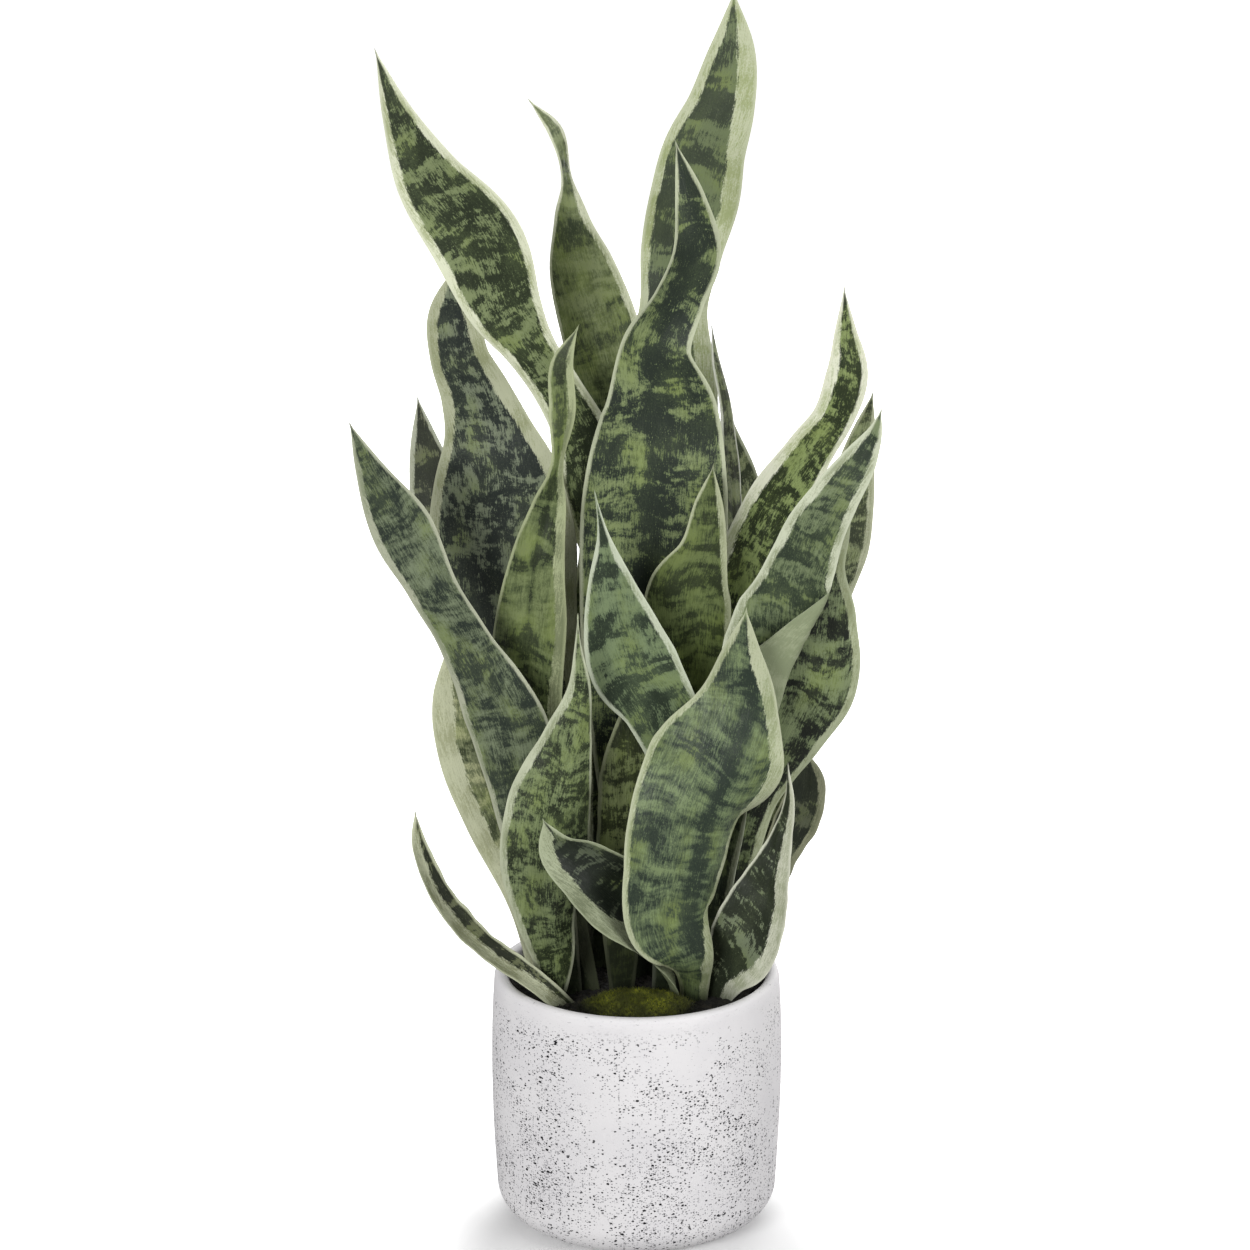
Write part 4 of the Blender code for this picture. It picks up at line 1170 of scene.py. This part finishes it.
@dataclass
class Soil:
    """The soil: an uneven bed with crumbs lying on it."""

    name: str = "soil"
    rows: int = 70
    around: int = 220
    crumbs: int = 520
    gap: float = 0.4 * MM
    sink: float = 0.8 * MM
    roughness: float = 0.75 * MM
    droop_start: float = 62 * MM
    droop_span: float = 9 * MM
    droop_depth: float = 1.6 * MM
    finish: EarthFinish = field(default_factory=EarthFinish)

    def droop(self, radius: np.ndarray) -> np.ndarray:
        """How far the bed sinks towards the planter's wall: a parabola from the droop's start."""
        return np.clip((radius - self.droop_start) / self.droop_span, 0.0, 1.0) ** 2 * self.droop_depth

    def bed(self) -> tuple[np.ndarray, list[np.ndarray]]:
        """A turned plug whose top is roughened by sums of sines of the place.

        Returns:
            The points, and the faces of its skin and its two caps.
        """
        edge = POT_RIM_RADIUS - POT_WALL - self.gap
        below = [edge + 0.4 * MM, 66 * MM, 40 * MM]
        radii = np.concatenate([np.linspace(1.5 * MM, edge, self.rows), below])
        level = np.full(self.rows, SOIL_TOP - self.sink)
        heights = np.concatenate([level, [100 * MM, SOIL_BOTTOM + 4 * MM, SOIL_BOTTOM]])
        angle = np.linspace(0.0, 2 * math.pi, self.around, endpoint=False)
        x, y = radii[:, None] * np.cos(angle), radii[:, None] * np.sin(angle)
        top = (np.arange(len(radii)) < self.rows)[:, None]
        rough = np.sin(x * 520 + 2 * np.sin(y * 410)) * np.sin(y * 610 + 1.7 * np.sin(x * 350))
        rough += 0.6 * np.sin(x * 1300 + 3 * np.sin(y * 900)) * np.sin(y * 1500 + x * 400)
        z = heights[:, None] + top * (rough * self.roughness - self.droop(radii[:, None]))
        points = np.stack([x, y, z], axis=2).reshape(-1, 3)
        ends = np.array([[0.0, 0.0, SOIL_TOP - self.sink], [0.0, 0.0, SOIL_BOTTOM]])
        rows, last = len(radii), len(points)
        faces = [
            tube_faces(rows, self.around)[:, ::-1],
            cap_faces(np.arange(self.around), last, False),
            cap_faces(np.arange(last - self.around, last), last + 1, True),
        ]
        return np.concatenate([points, ends]), faces

    def crumb_points(self, first: int) -> tuple[np.ndarray, np.ndarray]:
        """Small eight-sided lumps scattered evenly over the bed, each turned and stretched.

        Args:
            first: Number of the first point.

        Returns:
            The points and the triangles.
        """
        draw = np.random.default_rng(7)
        corners = np.array([[1, 0, 0], [-1, 0, 0], [0, 1, 0], [0, -1, 0], [0, 0, 1], [0, 0, -1]], float)
        sides = [[0, 2, 4], [2, 1, 4], [1, 3, 4], [3, 0, 4], [2, 0, 5], [1, 2, 5], [3, 1, 5], [0, 3, 5]]
        count = self.crumbs
        radius = 66 * MM * np.sqrt(draw.random(count))
        angle = 2 * math.pi * draw.random(count)
        size = (0.5 + 1.6 * draw.random((count, 1, 1)) ** 3) * MM
        stretch = 0.6 + 0.8 * draw.random((count, 1, 3))
        turn = 2 * math.pi * draw.random((count, 1))
        lumps = corners[None] * size * stretch * (0.8 + 0.4 * draw.random((count, 6, 1)))
        x = lumps[..., 0] * np.cos(turn) - lumps[..., 2] * np.sin(turn)
        z = lumps[..., 0] * np.sin(turn) + lumps[..., 2] * np.cos(turn)
        centre = np.stack([radius * np.cos(angle), radius * np.sin(angle)], axis=1)
        ground = SOIL_TOP - 0.5 * MM - self.droop(radius)
        points = np.stack([x + centre[:, :1], lumps[..., 1] + centre[:, 1:], z + ground[:, None]], axis=2)
        faces = first + 6 * np.arange(count)[:, None, None] + np.array(sides)[None]
        return points.reshape(-1, 3), faces.reshape(-1, 3)

    def make(self) -> None:
        """Build the soil, dress it and join it to the model."""
        points, faces = self.bed()
        lumps, sides = self.crumb_points(len(points))
        mesh = make_mesh(self.name, np.concatenate([points, lumps]), faces + [sides])
        add_piece("soil_bed", mesh, self.finish.build("soil_earth"), self.name)


@dataclass(frozen=True)
class MossFinish:
    """Moss from dark olive at its roots to yellow-green at its tips."""

    root: Colour = shade(24, 27, 8)
    leaf: Colour = shade(76, 82, 18)
    tip: Colour = shade(164, 170, 44)

    def build(self, name: str) -> bpy.types.Material:
        """Paint the moss by its height and by slow patches.

        Args:
            name: The material's name.

        Returns:
            The material.
        """
        g = Graph(name)
        place = g.place()
        _, _, height = g.split(place)
        patches = g.noise(place, 3.0, 0.6, 90.0).rise(0.35, 0.65)
        fine = g.noise(place, 3.0, 0.7, 600.0).rise(0.4, 0.65)
        raised = height.rise(SOIL_TOP + 1 * MM, SOIL_TOP + 10 * MM)
        paint = g.mix(raised, self.root, self.leaf)
        paint = g.mix(patches * fine * raised, paint, self.tip)
        return g.finish(Base_Color=paint, Roughness=0.85)


@dataclass
class Moss:
    """A mat of moss on the soil at the front: a low cushion covered in short slim leaflets."""

    name: str = "moss"
    ring_radius: float = 45 * MM
    half_width: float = 21 * MM
    half_angle: float = math.radians(38)
    height: float = 10.5 * MM
    leaflets: int = 8000
    rows: int = 22
    around: int = 120
    finish: MossFinish = field(default_factory=MossFinish)

    def ground(self, along: np.ndarray, across: np.ndarray) -> np.ndarray:
        """Top of the cushion: a dome over the patch, with lumps by products of cosines.

        The outline is made uneven by sines of the place along and across.

        Args:
            along: Places along the patch, -1 to 1.
            across: Places across it, -1 at its inner side to 1 at its outer side.

        Returns:
            The points.
        """
        dome = np.sqrt(np.clip(1 - along**2 - across**2, 0.0, 1.0))
        lumps = 0.85 + 0.15 * np.cos(9 * along) * np.cos(5 * across + 1)
        lumps = lumps - 0.07 * (1 + np.cos(23 * along + 2 * across) * np.cos(13 * across + 1))
        radius = self.ring_radius + self.half_width * across * (0.94 + 0.07 * np.sin(11 * along + 1))
        angle = -math.pi / 2 + self.half_angle * along * (0.96 + 0.05 * np.sin(7 * across))
        height = SOIL_TOP + 0.1 * MM + self.height * dome * lumps
        return np.stack([radius * np.cos(angle), radius * np.sin(angle), height], axis=-1)

    def make(self) -> None:
        """Build the moss, dress it and join it to the model."""
        rows, around = self.rows, self.around
        reach = np.linspace(0.02, 1.0, rows)[:, None]
        turn = np.linspace(0.0, 2 * math.pi, around, endpoint=False)[None]
        top = self.ground(reach * np.cos(turn), reach * np.sin(turn))
        under = self.ground(np.cos(turn), np.sin(turn)) - np.array([0.0, 0.0, 0.6 * MM])
        points = np.concatenate([top.reshape(-1, 3), under.reshape(-1, 3)])
        last = len(points)
        ends = np.stack([points[:around].mean(axis=0), points[-around:].mean(axis=0)])
        faces = [
            tube_faces(rows + 1, around),
            cap_faces(np.arange(around), last, True),
            cap_faces(np.arange(last - around, last), last + 1, False),
        ]
        tufts, sides = self.tufts(last + 2)
        mesh = make_mesh(self.name, np.concatenate([points, ends, tufts]), faces + [sides])
        add_piece("moss_mat", mesh, self.finish.build("moss_green"), self.name)

    def tufts(self, first: int) -> tuple[np.ndarray, np.ndarray]:
        """Slim three-sided spikes scattered over the cushion, each leaning its own way.

        Args:
            first: Number of the first point.

        Returns:
            The points and the triangles.
        """
        draw = np.random.default_rng(11)
        count = self.leaflets
        reach, turn = 1.05 * np.sqrt(draw.random(count)), 2 * math.pi * draw.random(count)
        root = self.ground(reach * np.cos(turn), reach * np.sin(turn))
        heading = 2 * math.pi * draw.random(count)
        lean = 1.5 * draw.random(count)
        length = (1.3 + 2.0 * draw.random(count)) * MM
        tip = np.stack([np.cos(heading) * lean, np.sin(heading) * lean, np.ones(count)], axis=1)
        tip = root + tip * length[:, None]
        corner = 2 * math.pi * np.arange(3) / 3
        ring = np.stack([np.cos(corner), np.sin(corner), np.full(3, -0.6)], axis=1) * SPIKE_RADIUS
        base = root[:, None] + ring[None]
        points = np.concatenate([base, tip[:, None]], axis=1).reshape(-1, 3)
        sides = np.array([[0, 1, 3], [1, 2, 3], [2, 0, 3], [2, 1, 0]])
        faces = first + 4 * np.arange(count)[:, None, None] + sides[None]
        return points, faces.reshape(-1, 3)


# ---------------------------------------------------------------- studio


class Lamp(Enum):
    """The studio's soft boxes: place, edge length in metres, and power in watts."""

    KEY = ((-1.35, -2.25, 1.05), 1.2, 45.0)
    FILL = ((2.0, -1.0, 1.1), 1.5, 30.0)
    TOP = ((-0.3, 1.1, 2.3), 1.4, 8.0)
    BACK = ((0.7, 2.4, 0.9), 1.5, 42.0)


@dataclass
class Studio:
    """The plain floor, the soft light and the camera."""

    aim: tuple[float, float, float] = (0.0, 0.0, 0.33)
    sky: float = 0.42
    # Glow near and far from the foot; the dim glow near it is a painted shadow.
    glow: tuple[float, float] = (0.0, 0.75)
    glow_reach: tuple[float, float] = (0.075, 0.15)
    glow_ahead: float = 0.065
    camera_place: tuple[float, float, float] = (-0.0064, -2.0, 0.917)
    camera_tilt: float = math.radians(73.79)
    lens: float = 112.35

    def floor(self) -> None:
        """A wide plain floor, self-lit so that it stays white, with a painted shadow round the foot.

        The glow steps from near to far with the distance from a point under the front of the planter,
        so the dim glow near the foot paints a soft shadow there. The floor doesn't light the object.
        """
        g = Graph("floor")
        x, y, _ = g.split(g.place())
        # Painted shadow: the glow is dimmest near the foot, and reaches furthest ahead of it.
        ahead = y + self.glow_ahead
        reach = g.math("SQRT", x * x + ahead * ahead).rise(self.glow_reach[0], self.glow_reach[1])
        near, far = self.glow
        glow = g.mix(reach, (near, near, near), (far, far, far))
        material = g.finish(
            Base_Color=(0.86, 0.86, 0.86), Roughness=0.9, Emission_Color=glow, Emission_Strength=1.0
        )
        corners = np.array([[-30, -30, 0], [30, -30, 0], [30, 30, 0], [-30, 30, 0]], float)
        mesh = make_mesh("floor", corners, [np.array([[0, 1, 2, 3]])])
        mesh.materials.append(material)
        item = bpy.data.objects.new("floor", mesh)
        item.visible_diffuse = item.visible_glossy = False
        bpy.context.scene.collection.objects.link(item)

    def lights(self) -> None:
        """Soft boxes aimed at the plant, and an even pale surround."""
        for lamp in Lamp:
            place, edge, power = lamp.value
            data = bpy.data.lights.new(lamp.name.lower(), "AREA")
            data.size, data.energy = edge, power
            item = bpy.data.objects.new(data.name, data)
            item.location = place
            towards = np.array(self.aim) - np.array(place)
            tilt = math.atan2(math.hypot(towards[0], towards[1]), -towards[2])
            turn = math.atan2(towards[1], towards[0]) - math.pi / 2
            item.rotation_euler = (tilt, 0.0, turn)
            bpy.context.scene.collection.objects.link(item)
        world = bpy.data.worlds.new("surround")
        world.use_nodes = True
        background = world.node_tree.nodes["Background"]
        background.inputs["Color"].default_value = (1.0, 1.0, 1.0, 1.0)
        background.inputs["Strength"].default_value = self.sky
        bpy.context.scene.world = world

    def camera(self) -> None:
        """The camera, a long lens looking slightly down."""
        data = bpy.data.cameras.new("camera")
        data.lens, data.sensor_width = self.lens, 36.0
        data.clip_start, data.clip_end = 0.05, 60.0
        item = bpy.data.objects.new("camera", data)
        item.location = self.camera_place
        item.rotation_euler = (self.camera_tilt, 0.0, 0.0)
        bpy.context.scene.collection.objects.link(item)
        bpy.context.scene.camera = item
        bpy.context.scene.view_settings.view_transform = "Standard"

    def make(self) -> None:
        """Set up the floor, the lights and the camera."""
        self.floor()
        self.lights()
        self.camera()


def main() -> None:
    """Build every piece in order."""
    logging.basicConfig(level=logging.INFO, format="%(message)s")
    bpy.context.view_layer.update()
    Studio().make()
    Planter().make()
    Soil().make()
    Moss().make()
    for leaf in leaves():
        leaf.make()


if __name__ == "__main__":
    main()
